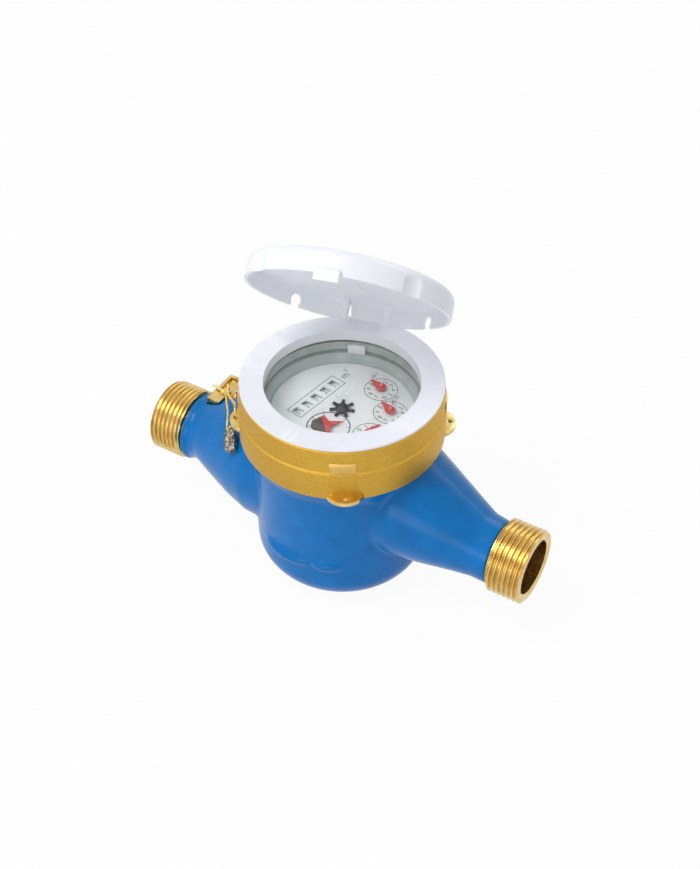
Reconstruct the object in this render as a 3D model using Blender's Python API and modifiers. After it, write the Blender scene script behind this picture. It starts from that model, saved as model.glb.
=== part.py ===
"""Multi-jet dry-dial water meter, DN20, for a pipe that runs along X.

Water goes in at -X, turns the impeller and leaves at +X. A magnet carries the turning through the pressure
plate to the gear train under the dial. Origin: centre of the flat base, under the middle of the dial. +Z up.
Driving dimensions are in millimetres and become metres where a mesh is made.
"""

from math import atan2, cos, degrees, hypot, pi, radians, sin, sqrt

import bmesh
import bpy
from mathutils import Matrix, Vector

MM = 0.001
GAP = 0.3

# Pipe line and bowl
LENGTH = 190.0
AXIS_Z = 36.0
BOWL_CORNER = 14.0
BOWL_WALL = 5.5
FLOOR = 5.0
CAVITY_CORNER = 8.0
THREAD_R = 16.6
THREAD_LENGTH = 15.0
THREAD_RUNOUT = 1.6
BORE_R = 12.3
COLLAR_R = 14.0
COLLAR_LENGTH = 4.0
NECK_SINK = 18.5
# Share of the way from the neck's root to its collar, rise over the pipe line, and radius
NECK_STATIONS = (
    (0.0, 12.0, 26.0), (0.304, 10.2, 25.5), (0.495, 7.1, 22.2), (0.768, 3.1, 17.0), (0.904, 1.0, 14.4),
)
COLLAR_RISE = 0.5
# Bore: share of the way from the chamber's channel to the straight, height, half width, half height
INLET_BEND = ((0.617, 35.0, 12.0, 11.0), (0.298, 31.0, 14.0, 8.0), (0.0, 27.0, 16.0, 6.0))
OUTLET_BEND = ((0.617, 39.5, 12.0, 11.3), (0.298, 45.0, 14.0, 9.6), (0.0, 47.5, 16.0, 8.0))
STRAIGHT_BORE = 17.0
NECK_SIDES = 16
CAVITY_SIDES = 20
WATERWAY_SIDES = 10

# Foundry crescent low on the bowl
CRESCENT_FROM = -128.0
CRESCENT_TO = -62.0
CRESCENT_Z = 16.5
CRESCENT_R = 1.6

# Locking ring
RING_WALL = 3.8
RING_STEP = 0.7
RING_EDGE = 0.8
RING_Z = 70.8
RING_STEP_Z = 85.5
RING_TOP_Z = 94.5
BODY_RIM_WALL = 3.2
BODY_RIM_Z = 83.6
SHOULDER_OUT = 1.0
SHOULDER_H = 2.5
SHOULDER_SLOPE_H = 9.0
SEAL_LUGS = (-57.0, 33.0, 123.0, 206.0)
LUG_R = 7.0
LUG_OUT = 4.6
LUG_HEIGHT = 4.4
LUG_LIFT = 0.4
LUG_HOLE_R = 0.95
LUG_HOLE_IN = 2.6
TAB_WIDTH = 11.8
TAB_HEIGHT = 5.5
TAB_DEPTH = 2.2

# Bezel and lid
BEZEL_THICK = 2.6
BEZEL_WALL = 1.9
BEZEL_EDGE = 0.7
BEAD = 0.6
BEAD_Z = 2.0
BEAD_HALF = 1.2
HINGE_ANGLE = 105.6
HINGE_IN = 1.3
HINGE_RISE = 9.9
HINGE_PLATE_W = 15.2
HINGE_PLATE_T = 2.0
HINGE_BARREL_R = 1.5
PIN_R = 0.6
PIN_CLEAR = 0.05
EAR_W = 3.4
EAR_DEPTH = 9.0
EAR_ROUND = 0.4
EAR_SINK = 0.1
LID_OVERHANG = 0.9
LID_WALL = 1.5
LID_HEIGHT = 11.3
LID_SHOULDER = 4.5
LID_DOME = 0.9
LID_TURN = 80.0
LID_EDGE = 0.4
LID_LIFT = 0.4
LID_OPEN = 50.0
LATCH_W = 10.0
LATCH_DROP = 3.2
LATCH_OUT = 0.45
LATCH_UP = 2.0
GRIP_ANGLE = 65.0
GRIP_R = 9.0
GRIP_DEPTH = 1.0
NOTCH_ANGLE = 50.0
NOTCH_W = 5.0
NOTCH_H = 6.0

# Register can and its clear cover
DIAL_R = 31.0
DIAL_EDGE = 2.6
CAN_SIDE = 4.5
CAN_CLEAR = 0.7
CAN_WALL = 1.5
CAN_FLANGE_BACK = 0.5
CAN_FLANGE_T = 1.8
DIAL_Z = 81.5
DIAL_T = 1.0
DIAL_LEDGE = 0.6
RIM_LEDGE = 1.2
RIM_LEDGE_Z = 2.0
GASKET_T = 1.0
COVER_REST = 1.8
COVER_SKIRT = 1.7
COVER_PANE = 2.0
COVER_EDGE = 0.8
GLASS_T = 5.4
PLATE_T = 5.0
PLATE_SEAL_T = 1.0
LEDGE_Z = 57.3

# Gear train, seen from above with the figures upright. The dial is laid out on a grid whose unit
# grows with it.
GRID_UNITS = 31
UNIT = DIAL_R / GRID_UNITS
READING = 81.5
LARGE_DIAL = (-12.0 * UNIT, -2.4 * UNIT)
DIAL_3 = (-5.0 * UNIT, -19.05 * UNIT)
DIAL_2 = (11.6 * UNIT, -16.9 * UNIT)
DIAL_1 = (20.8 * UNIT, -4.4 * UNIT)
FAST_MODULE = 0.45 * UNIT
SLOW_MODULE = 0.77 * UNIT
PINION_TEETH = 6
FAST_TEETH = 30
IDLER_TEETH = 18
POINTER_TEETH = 20
EQUAL_TEETH = 12
GEAR_T = 1.2
LAYER = 1.8
TRAIN_Z = 71.6
TOP_GEAR_Z = 79.0
TOP_GEAR_T = 1.0
ARBOR_R = 0.6
PLATE_2_T = 1.0
ADDENDUM = 0.75
DEDENDUM = 1.05
PINION_LONGER = 0.2
BAY_E2 = 6.5 * UNIT
WORM_BAY_E2 = 9.9 * UNIT
WORM_BAY_E1 = 15.0 * UNIT
FOOT_AT = 27.3 * UNIT
FOOT_R = 1.6 * UNIT
POST_R = 1.2 * UNIT

# Driver, driven wheel, its teeth, the module and the layer of each step of the train
TRAIN = (
    ("centre", "idler_1", FAST_TEETH, FAST_MODULE, 0),
    ("idler_1", "large", FAST_TEETH, FAST_MODULE, 1),
    ("large", "idler_2", IDLER_TEETH, SLOW_MODULE, 2),
    ("idler_2", "d3", POINTER_TEETH, SLOW_MODULE, 3),
    ("d3", "idler_3", IDLER_TEETH, SLOW_MODULE, 1),
    ("idler_3", "d2", POINTER_TEETH, SLOW_MODULE, 2),
    ("d2", "idler_4", IDLER_TEETH, SLOW_MODULE, 3),
    ("idler_4", "d1", POINTER_TEETH, SLOW_MODULE, 1),
)

# Number drums
DRUMS = 5
DRUM_PITCH = 5.85 * UNIT
DRUM_APART = 1.65
DRUM_W = DRUM_PITCH - DRUM_APART
DRUM_R = 5.5
DRUM_AXIS_E2 = 14.0 * UNIT
DRUM_ROW_E1 = -0.8 * UNIT
DRUM_TEETH = 12
DRUM_MODULE = 0.7
DRUM_GEAR_T = 0.7
DRUM_SHAFT_R = 0.8
WINDOW = (DRUM_W - 0.8, 4.6 * UNIT)
SHAFT_POST_T = 1.2
SHAFT_PAST_POST = 0.4
SEAT_WALL = 1.0
TRANSFER_TEETH = 6
TRANSFER_ANGLE = -60.0
TRANSFER_W = 1.1
WORM_PAST_DIAL_1 = 0.7
WORM_R = 2.0
WORM_CORE_R = 1.3
WORM_CREST_R = 2.25
WORM_FOOT = 0.42
WORM_TOP = 0.12
WORM_TEETH = 10
WORM_WHEEL_R = 4.0
WORM_WHEEL_T = 1.2
WORM_TURNS = 1.6

# Pointers and star
POINTER_LENGTH = 5.6 * UNIT
LARGE_POINTER_LENGTH = 8.1 * UNIT
POINTER_T = 0.5
POINTER_HUB_R = 1.6
LARGE_POINTER_HUB_R = 2.4
POINTER_HUB_H = 1.8
POINTER_HEADINGS = (35.0, 78.0, 156.0, 164.0)
STAR_R = 5.3 * UNIT
STAR_ARMS = 7
STAR_T = 0.6
STAR_ROOT_R = 2.2
STAR_HUB_R = 2.5
STAR_HUB_H = 2.0

# Measuring chamber
CHAMBER_ROOM = 3.2
CHAMBER_WALL = 2.0
CHAMBER_FLOOR_Z = 14.0
SEPTUM_Z = 34.0
SEPTUM_T = 4.0
SEPTUM_BACK = 0.9
FLANGE_BACK = 1.5
FLANGE_T = 2.0
JETS = 6
JET_W = 4.0
JET_Z = (20.0, 28.0)
EXIT_Z = (43.0, 51.0)
JET_LENGTH = 16.0
JET_BACK = 7.5
JET_SKEW = 14.0
COVER_TOP_Z = 55.0
BLADES = 7
BLADE_BACK = 2.0
BLADE_T = 1.2
BLADE_Z = (19.0, 49.0)
HUB_R = 4.5
HUB_CONE = 1.0
BLADE_SINK = 1.0
SPINDLE_R = 1.8
SPINDLE_ROOM = 1.2
MAGNET_R = 7.0
MAGNET_T = 4.0
MAGNET_ROOM = 1.5
PIVOT_R = 0.9
PIVOT_SEAT = 6.0
PIVOT_HEAD = 1.5
PIVOT_HEAD_T = 1.0
STRAINER_BACK = 2.0
STRAINER_WALL = 1.3
STRAINER_FOOT_BACK = 1.0
STRAINER_FOOT_W = 4.0
STRAINER_SLOT_Z = (16.0, 28.0)
STRAINER_SLOTS = 8
STRAINER_SLOT_W = 7.0

# Regulating screw and its seal
SCREW_FROM_END = 24.6
SCREW_Y = 10.0
SCREW_BAR = (5.3, 20.0, 3.9)
SCREW_TOP_Z = 55.0
SCREW_SHANK_R = 2.6
WASHER_R = 5.6
WASHER_T = 0.8
BOSS_R = 7.2
SLOT_LENGTH = 11.0
SLOT_W = 3.3
SLOT_DEPTH = 1.3
SLOT_SIDE = 1.0
WIRE_HOLE_R = 0.9
WIRE_HOLE_Y = 12.2
WIRE_HOLE_X = 1.2
SHANK_IN_NECK = 6.0
WIRE_R = 0.45
WIRE_SPACING = 4.0
SEAL_SIZE = (11.0, 6.0, 3.4)
SEAL_BORE_R = 0.8
SEAL_ROUNDNESS = 0.75
SEAL_AT = (-46.1, -21.3, 58.75)
SEAL_ALONG = (0.468, -0.668, -0.579)
SEAL_OUT = (0.0, -0.816, 0.578)

# The seal wire's two strands, chosen by hand from screw to lead seal
TIED_STRAND = (
    (-75.4, 8.9, 55.4), (-73.0, 8.3, 56.1), (-69.8, 7.6, 56.2), (-66.8, 6.4, 56.6), (-63.8, 2.9, 58.2),
    (-60.1, -1.9, 59.9), (-55.5, -7.4, 61.2), (-52.5, -11.6, 61.8), (-50.4, -15.0, 61.4), (-49.0, -17.3, 60.8),
)
LOOP_STRAND = (
    (-69.2, 12.2, 52.4), (-69.2, 12.1, 55.2), (-68.9, 11.4, 56.9), (-67.4, 9.5, 57.8), (-64.5, 5.2, 59.4),
    (-60.0, 0.0, 62.5), (-55.0, -4.4, 65.2), (-48.8, -11.2, 71.3), (-45.9, -14.6, 75.3), (-43.3, -18.0, 76.7),
    (-41.8, -20.0, 76.6), (-41.5, -20.25, 74.6), (-41.5, -20.25, 70.4), (-42.0, -20.2, 68.6),
    (-43.8, -19.2, 66.6), (-46.2, -18.2, 64.4), (-47.6, -18.0, 62.4), (-47.4, -19.3, 61.1),
)

ROUND = 32
INNER_ROUND = 20
SMALL_ROUND = 12
SPINDLE_SIDES = 6

# Radii that follow from the sizes above, out from the dial
BEZEL_INNER_R = DIAL_R + DIAL_EDGE
SKIRT_R = BEZEL_INNER_R + BEZEL_WALL
RING_LIP_R = SKIRT_R + GAP
GLASS_R = BEZEL_INNER_R + COVER_REST
CAN_R = DIAL_R + CAN_SIDE
BODY_RIM_INNER_R = CAN_R + CAN_CLEAR
BODY_RIM_R = BODY_RIM_INNER_R + BODY_RIM_WALL
CAN_FLANGE_R = BODY_RIM_R - CAN_FLANGE_BACK
SHOULDER_R = BODY_RIM_R + SHOULDER_OUT
RING_INNER_R = BODY_RIM_R + GAP
RING_UPPER_R = RING_INNER_R + RING_WALL
RING_R = RING_UPPER_R + RING_STEP
LUG_REACH = RING_R + LUG_OUT
LUG_HOLE_AT = LUG_REACH - LUG_HOLE_IN
BEZEL_R = RING_UPPER_R
HINGE_R = BEZEL_R - HINGE_IN
LID_R = BEZEL_R + LID_OVERHANG
BOWL_R = BODY_RIM_R - 3 * GAP
BASE_R = BOWL_R - BOWL_CORNER
NECK_ROOT_X = BOWL_R - NECK_SINK
CAVITY_R = BOWL_R - BOWL_WALL
STRAINER_R = CAVITY_R - STRAINER_BACK
CHAMBER_R = STRAINER_R - STRAINER_WALL - CHAMBER_ROOM
CHAMBER_FLANGE_R = CAVITY_R - FLANGE_BACK
SEPTUM_R = CHAMBER_R + SEPTUM_BACK
BLADE_R = CHAMBER_R - CHAMBER_WALL - BLADE_BACK
SCREW_AT = (SCREW_FROM_END - LENGTH / 2, SCREW_Y)
STEM_Z = AXIS_Z + SHANK_IN_NECK

# Heights that follow from the sizes above
BEZEL_Z = RING_TOP_Z + GAP
BEZEL_TOP_Z = BEZEL_Z + BEZEL_THICK
HINGE_Z = BEZEL_TOP_Z + HINGE_RISE
PLATE_Z = LEDGE_Z + PLATE_SEAL_T + 2 * GAP
CAN_Z = PLATE_Z + PLATE_T + GAP
CAN_TOP_Z = BODY_RIM_Z + GAP + CAN_FLANGE_T
LIP_Z = CAN_TOP_Z + GAP
GASKET_Z = CAN_TOP_Z + GAP
GLASS_Z = GASKET_Z + GASKET_T + GAP
GLASS_TOP_Z = GLASS_Z + GLASS_T
DIAL_UNDER_Z = DIAL_Z - DIAL_T
GEAR_PLATE_Z = TRAIN_Z - GAP - PLATE_2_T
DRUM_AXIS_Z = DIAL_UNDER_Z - 2 * GAP - DRUM_R
POINTER_Z = DIAL_Z + GAP + STAR_T + GAP
ARBOR_TOP_Z = POINTER_Z + POINTER_HUB_H - SEAT_WALL
STAR_SEAT_Z = DIAL_Z + STAR_HUB_H - STAR_T
SPINDLE_TOP_Z = PLATE_Z - 2 * GAP


def wipe_scene():
    for old in list(bpy.data.objects):
        bpy.data.objects.remove(old, do_unlink=True)


wipe_scene()
PARTS = bpy.data.collections.new("water_meter")
CUTTERS = bpy.data.collections.new("cutters")
bpy.context.scene.collection.children.link(PARTS)
bpy.context.scene.collection.children.link(CUTTERS)


def finish(name, colour, roughness, metallic=0.0, alpha=1.0):
    """One Principled material."""
    material = bpy.data.materials.new(name)
    material.use_nodes = True
    shader = material.node_tree.nodes["Principled BSDF"]
    shader.inputs["Base Color"].default_value = (*colour, 1.0)
    shader.inputs["Roughness"].default_value = roughness
    shader.inputs["Metallic"].default_value = metallic
    shader.inputs["Alpha"].default_value = alpha
    return material


BLUE = finish("blue_epoxy", (0.0, 0.16, 0.48), 0.35)
BRASS = finish("brass", (0.60, 0.36, 0.08), 0.45, 1.0)
WHITE = finish("white_plastic", (0.90, 0.91, 0.93), 0.4)
GREY = finish("grey_plastic", (0.38, 0.44, 0.41), 0.5)
GLASS = finish("glass", (0.75, 0.85, 0.80), 0.05, 0.0, 0.3)
DIAL_WHITE = finish("dial_white", (0.86, 0.88, 0.86), 0.5)
RED = finish("red_plastic", (0.68, 0.04, 0.03), 0.4)
BLACK = finish("black_plastic", (0.02, 0.02, 0.02), 0.4)
STEEL = finish("steel", (0.55, 0.55, 0.56), 0.3, 1.0)
LEAD = finish("lead", (0.32, 0.31, 0.29), 0.6, 0.7)
RUBBER = finish("rubber", (0.03, 0.03, 0.03), 0.8)
GEAR_WHITE = finish("gear_plastic", (0.80, 0.79, 0.74), 0.5)


def empty(name, at, parent=None):
    """A joint's frame, placed in millimetres."""
    frame = bpy.data.objects.new(name, None)
    PARTS.objects.link(frame)
    frame.location = Vector(at) * MM
    frame.parent = parent
    return frame


def from_bmesh(name, bm, material=None, at=(0, 0, 0), turn=(0, 0, 0), parent=None):
    """An object from a mesh in millimetres. Without a material it is a cutter or a joined helper."""
    bmesh.ops.scale(bm, vec=(MM, MM, MM), verts=bm.verts)
    bmesh.ops.recalc_face_normals(bm, faces=bm.faces)
    mesh = bpy.data.meshes.new(name)
    bm.to_mesh(mesh)
    bm.free()
    return place(bpy.data.objects.new(name, mesh), material, at, turn, parent)


def place(obj, material, at, turn, parent):
    (PARTS if material else CUTTERS).objects.link(obj)
    obj.location = Vector(at) * MM
    obj.rotation_euler = turn
    obj.parent = parent
    if material:
        obj.data.materials.append(material)
        obj.data.shade_smooth()
        obj.data.set_sharp_from_angle(angle=radians(35))
    else:
        obj.hide_render = True
        obj.display_type = "WIRE"
    return obj


def turned(name, profile, material=None, at=(0, 0, 0), turn=(0, 0, 0), parent=None, sides=ROUND):
    """A turned piece: (radius, height) points down its outer side, closed through its bore or on the axis."""
    bm = bmesh.new()
    points = [bm.verts.new((r * MM, 0, z * MM)) for r, z in profile]
    hollow = profile[0][0] > 0
    for a, b in zip(points, points[1:] + points[:1] * hollow):
        bm.edges.new((a, b))
    mesh = bpy.data.meshes.new(name)
    bm.to_mesh(mesh)
    bm.free()
    obj = place(bpy.data.objects.new(name, mesh), material, at, turn, parent)
    screw = obj.modifiers.new("turn", "SCREW")
    screw.steps = sides
    screw.render_steps = sides
    screw.use_merge_vertices = True
    screw.merge_threshold = 0.00001
    screw.use_smooth_shade = True
    return obj


def tube_profile(outer, inner, low, high):
    """The section of a plain ring."""
    return [(inner, high), (outer, high), (outer, low), (inner, low)]


def prism(name, outline, low, high, material=None, **where):
    """A flat outline, given as (x, y) points, pulled up from one height to another."""
    bm = bmesh.new()
    face = bm.faces.new([bm.verts.new((x, y, low)) for x, y in outline])
    pulled = bmesh.ops.extrude_face_region(bm, geom=[face])
    raised = [item for item in pulled["geom"] if isinstance(item, bmesh.types.BMVert)]
    bmesh.ops.translate(bm, vec=(0, 0, high - low), verts=raised)
    return from_bmesh(name, bm, material, **where)


def box(name, size, centre, material=None, **where):
    bm = bmesh.new()
    bmesh.ops.create_cube(bm, size=1.0)
    bmesh.ops.scale(bm, vec=size, verts=bm.verts)
    bmesh.ops.translate(bm, vec=centre, verts=bm.verts)
    return from_bmesh(name, bm, material, **where)


def rod(name, radius, low, high, material=None, sides=SMALL_ROUND, **where):
    """A solid cylinder between two heights."""
    bm = bmesh.new()
    bmesh.ops.create_cone(
        bm, cap_ends=True, segments=sides, radius1=radius, radius2=radius, depth=high - low
    )
    bmesh.ops.translate(bm, vec=(0, 0, (low + high) / 2), verts=bm.verts)
    return from_bmesh(name, bm, material, **where)


def loft(name, rings, sides, material=None, **where):
    """A skin over oval rings across the pipe: (x, centre height, half width, half height)."""
    bm = bmesh.new()
    loops = []
    for x, middle, half_y, half_z in rings:
        angles = [2 * pi * k / sides for k in range(sides)]
        loops.append([bm.verts.new((x, half_y * cos(a), middle + half_z * sin(a))) for a in angles])
    for near, far in zip(loops, loops[1:]):
        for k in range(sides):
            after = (k + 1) % sides
            bm.faces.new((near[k], near[after], far[after], far[k]))
    bm.faces.new(loops[0])
    bm.faces.new(loops[-1])
    return from_bmesh(name, bm, material, **where)


def combine(obj, other, operation):
    step = obj.modifiers.new(other.name, "BOOLEAN")
    step.operation = operation
    step.object = other
    step.solver = "EXACT"


def cut(obj, *others):
    for other in others:
        combine(obj, other, "DIFFERENCE")


def join(obj, *others):
    for other in others:
        combine(obj, other, "UNION")


def polar(radius, angle, z=0.0):
    return (radius * cos(radians(angle)), radius * sin(radians(angle)), z)


def on_dial(e1, e2, z=0.0):
    """A place on the dial: e1 along the row of figures, e2 towards their tops."""
    a = radians(READING)
    return (e1 * cos(a) - e2 * sin(a), e1 * sin(a) + e2 * cos(a), z)


def arc(radius, middle_r, middle_z, start, end, steps):
    """Points of a round corner in a turned profile, in degrees."""
    angles = [radians(start + (end - start) * k / steps) for k in range(steps + 1)]
    return [(middle_r + radius * cos(a), middle_z + radius * sin(a)) for a in angles]


def pipe_ends(side):
    """One neck from the bowl out to the bare threaded end, as lofted rings. side is -1 for the inlet."""
    end = LENGTH / 2
    thread = end - THREAD_LENGTH
    collar = thread - COLLAR_LENGTH
    rings = [(NECK_ROOT_X + share * (collar - NECK_ROOT_X), rise, r) for share, rise, r in NECK_STATIONS]
    rings += [(collar, COLLAR_RISE, COLLAR_R), (thread - THREAD_RUNOUT, 0.0, COLLAR_R + GAP)]
    bevel = THREAD_RUNOUT / 2
    rings += [(thread, 0.0, THREAD_R), (end - bevel, 0.0, THREAD_R), (end, 0.0, THREAD_R - bevel)]
    return [(side * x, AXIS_Z + z, r, r) for x, z, r in rings]


def passage(side):
    """The waterway from the pipe's bore to the lower (inlet) or upper (outlet) channel round the chamber."""
    inner_end = LENGTH / 2 - STRAIGHT_BORE
    start = CAVITY_R - BOWL_WALL / 2
    rings = [(LENGTH / 2 + THREAD_RUNOUT, AXIS_Z, BORE_R, BORE_R), (inner_end, AXIS_Z, BORE_R, BORE_R)]
    for share, z, half_y, half_z in INLET_BEND if side < 0 else OUTLET_BEND:
        rings.append((start + share * (inner_end - start), z, half_y, half_z))
    return [(side * x, z, half_y, half_z) for x, z, half_y, half_z in rings]


def bowl_profile():
    low = arc(BOWL_CORNER, BOWL_R - BOWL_CORNER, BOWL_CORNER, 0, -90, 4)
    seat = RING_Z - GAP
    return (
        [(0, BODY_RIM_Z), (BODY_RIM_R, BODY_RIM_Z), (BODY_RIM_R, seat), (SHOULDER_R, seat)]
        + [(SHOULDER_R, RING_Z - SHOULDER_H), (BOWL_R, RING_Z - SHOULDER_SLOPE_H)]
        + low
        + [(0, 0)]
    )


def cavity_profile():
    """The machined inside: rim bore, sealing ledge, upper channel, septum and lower channel."""
    septum_top = SEPTUM_Z + SEPTUM_T
    return [
        (0, BODY_RIM_Z + 2.0),
        (BODY_RIM_INNER_R, BODY_RIM_Z + 2.0),
        (BODY_RIM_INNER_R, LEDGE_Z),
        (CAVITY_R, LEDGE_Z),
        (CAVITY_R, septum_top),
        (SEPTUM_R, septum_top),
        (SEPTUM_R, SEPTUM_Z),
        (CAVITY_R, SEPTUM_Z),
        (CAVITY_R, FLOOR + CAVITY_CORNER),
        (BASE_R, FLOOR),
        (0, FLOOR),
    ]


def crescent():
    """A tapered bead cast along the foot of the bowl."""
    count = 8
    sides = 6
    bm = bmesh.new()
    loops = []
    for k in range(count + 1):
        share = k / count
        angle = radians(CRESCENT_FROM + (CRESCENT_TO - CRESCENT_FROM) * share)
        radius = 0.25 + CRESCENT_R * sqrt(max(0.0, sin(pi * share)))
        ring = []
        for side in range(sides):
            a = 2 * pi * side / sides
            r = BOWL_R - 0.4 + radius * cos(a)
            ring.append(bm.verts.new((r * cos(angle), r * sin(angle), CRESCENT_Z + radius * sin(a))))
        loops.append(ring)
    for near, far in zip(loops, loops[1:]):
        for side in range(sides):
            after = (side + 1) % sides
            bm.faces.new((near[side], near[after], far[after], far[side]))
    bm.faces.new(loops[0])
    bm.faces.new(loops[-1])
    return from_bmesh("crescent", bm)


def make_body():
    body = turned("body", bowl_profile(), BLUE, turn=(0, 0, pi / ROUND))
    for side, word in ((-1, "inlet"), (1, "outlet")):
        join(body, loft(word + "_neck", pipe_ends(side), NECK_SIDES))
    boss_top = SCREW_TOP_Z - SCREW_BAR[2] - WASHER_T - 2 * GAP
    join(body, rod("screw_boss", BOSS_R, AXIS_Z, boss_top, at=(*SCREW_AT, 0)))
    join(body, crescent())
    cut(body, turned("cavity", cavity_profile(), sides=CAVITY_SIDES))
    for side, word in ((-1, "inlet"), (1, "outlet")):
        cut(body, loft(word + "_waterway", passage(side), WATERWAY_SIDES))
    above = SCREW_TOP_Z + SCREW_BAR[2]
    bar_low = SCREW_TOP_Z - SCREW_BAR[2] - GAP
    cut(
        body,
        rod("screw_bore", SCREW_SHANK_R + GAP, STEM_Z - 1.0, boss_top + 1.0, sides=SMALL_ROUND,
            at=(*SCREW_AT, 0)),
        rod("washer_room", WASHER_R + GAP, boss_top, above, sides=SMALL_ROUND + 1, at=(*SCREW_AT, 0)),
        box("bar_room", (SCREW_BAR[0] + 2 * GAP, SCREW_BAR[1] + 2 * GAP, above - bar_low),
            (0, 0, (above + bar_low) / 2), at=(*SCREW_AT, 0)),
    )


def make_ring():
    inner = RING_INNER_R
    groove_z = BEZEL_Z - BEAD_Z
    profile = [
        (RING_LIP_R, RING_TOP_Z),
        (RING_UPPER_R - RING_EDGE, RING_TOP_Z),
        (RING_UPPER_R, RING_TOP_Z - RING_EDGE),
        (RING_UPPER_R, RING_STEP_Z),
        (RING_R, RING_STEP_Z - RING_STEP),
        (RING_R, RING_Z + RING_EDGE),
        (RING_R - RING_EDGE, RING_Z),
        (inner, RING_Z),
        (inner, LIP_Z),
        (RING_LIP_R, LIP_Z),
        (RING_LIP_R, groove_z - BEAD_HALF),
        (RING_LIP_R + BEAD + GAP, groove_z),
        (RING_LIP_R, groove_z + BEAD_HALF),
    ]
    ring = turned("locking_ring", profile, BRASS)
    for index, angle in enumerate(SEAL_LUGS):
        lug = rod("lug_%d" % index, LUG_R, RING_Z + LUG_LIFT, RING_Z + LUG_HEIGHT, sides=SMALL_ROUND,
                  at=polar(LUG_REACH - LUG_R, angle), turn=(0, 0, radians(angle)))
        room = rod("lug_room_%d" % index, inner + 1.0, RING_Z - 1.0, RING_Z + LUG_HEIGHT + 1.0, sides=ROUND)
        cut(lug, room)
        join(ring, lug)
        tab = box(
            "tab_%d" % index,
            (TAB_DEPTH, TAB_WIDTH, TAB_HEIGHT + RING_STEP),
            (RING_R - TAB_DEPTH / 2 - GAP / 3, 0, RING_STEP_Z + (TAB_HEIGHT - RING_STEP) / 2),
            turn=(0, 0, radians(angle)),
        )
        join(ring, tab)
        hole = rod("wire_hole_%d" % index, LUG_HOLE_R, RING_Z - 1, RING_Z + LUG_HEIGHT + 1, sides=8)
        hole.location = Vector(polar(LUG_HOLE_AT, angle)) * MM
        cut(ring, hole)


def make_bezel(turntable, hinge):
    top = BEZEL_TOP_Z
    foot = GLASS_TOP_Z + GAP
    edge = BEZEL_EDGE / 2
    profile = [
        (BEZEL_INNER_R, top - edge),
        (BEZEL_INNER_R + edge, top),
        (BEZEL_R - BEZEL_EDGE, top),
        (BEZEL_R, top - BEZEL_EDGE),
        (BEZEL_R, BEZEL_Z),
        (SKIRT_R, BEZEL_Z),
        (SKIRT_R, foot + BEAD / 2),
        (SKIRT_R + BEAD, foot + BEAD / 2),
        (SKIRT_R, foot),
        (BEZEL_INNER_R - edge, foot),
    ]
    bezel = turned("bezel_ring", profile, WHITE, parent=turntable)
    plate_h = HINGE_RISE + BEZEL_THICK / 2
    plate = box(
        "hinge_plate", (HINGE_PLATE_W - 2 * GAP, HINGE_PLATE_T, plate_h), (0, 0, -plate_h / 2), parent=hinge
    )
    barrel = rod(
        "hinge_barrel", HINGE_BARREL_R, -HINGE_PLATE_W / 2, HINGE_PLATE_W / 2, sides=10, parent=hinge,
        turn=(0, pi / 2, 0),
    )
    bore = rod(
        "pin_bore", PIN_R + GAP, -HINGE_PLATE_W, HINGE_PLATE_W, sides=8, parent=hinge, turn=(0, pi / 2, 0)
    )
    join(bezel, plate, barrel)
    cut(bezel, bore)


def lid_profile(rim, top):
    """Closed lid section about its own axis, with heights counted from the hinge."""
    outer = arc(LID_SHOULDER, LID_R - LID_SHOULDER, top - LID_SHOULDER, 0, LID_TURN, 3)
    inner_corner = LID_SHOULDER - LID_WALL
    inner = arc(inner_corner, LID_R - LID_SHOULDER, top - LID_SHOULDER, LID_TURN, 0, 2)
    crown = [(0, top + LID_DOME)]
    return (
        crown
        + list(reversed(outer))
        + [(LID_R, rim + LID_EDGE), (LID_R - LID_EDGE, rim), (LID_R - LID_WALL, rim)]
        + list(reversed(inner))
        + [(0, top + LID_DOME - LID_WALL)]
    )


def make_lid(swing):
    rim = BEZEL_TOP_Z + LID_LIFT - HINGE_Z
    top = rim + LID_HEIGHT
    middle = (0, -HINGE_R, 0)
    lid = turned("lid", lid_profile(rim, top), WHITE, at=middle, parent=swing)
    slot_w = HINGE_PLATE_W + 2 * GAP
    clear = HINGE_BARREL_R + GAP
    slot_long = 2 * clear + LID_SHOULDER
    slot_top = top + 2 * LID_SHOULDER
    notch = box(
        "hinge_notch", (slot_w, slot_long, slot_top - rim + LID_SHOULDER),
        (0, slot_long / 2 - clear, (slot_top + rim - LID_SHOULDER) / 2), parent=swing,
    )
    cut(lid, notch)
    web_top = top - LID_WALL / 2
    for side in (-1, 1):
        ear_x = side * (slot_w / 2 + EAR_W / 2)
        half = EAR_W / 2 - EAR_SINK
        ear = rod("ear_%d" % side, clear + EAR_ROUND, ear_x - half, ear_x + half, sides=10, parent=swing,
                  turn=(0, pi / 2, 0))
        web = box("ear_web_%d" % side, (EAR_W, EAR_DEPTH, web_top),
                  (ear_x, clear + EAR_ROUND - EAR_SINK - EAR_DEPTH / 2, web_top / 2), parent=swing)
        join(lid, ear, web)
        cut(lid, *grips(side, rim, top, middle, swing))
    latch_angle = degrees(LATCH_W / LID_R)
    latch = turned_sector("latch", BEZEL_R + GAP, LID_R + LATCH_OUT, rim - LATCH_DROP, rim + LATCH_UP,
                          latch_angle)
    latch.parent = swing
    latch.location = Vector(middle) * MM
    join(lid, latch)
    bore = rod("lid_pin_bore", PIN_R + PIN_CLEAR, -slot_w, slot_w, sides=8, parent=swing, turn=(0, pi / 2, 0))
    cut(lid, bore)


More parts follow.
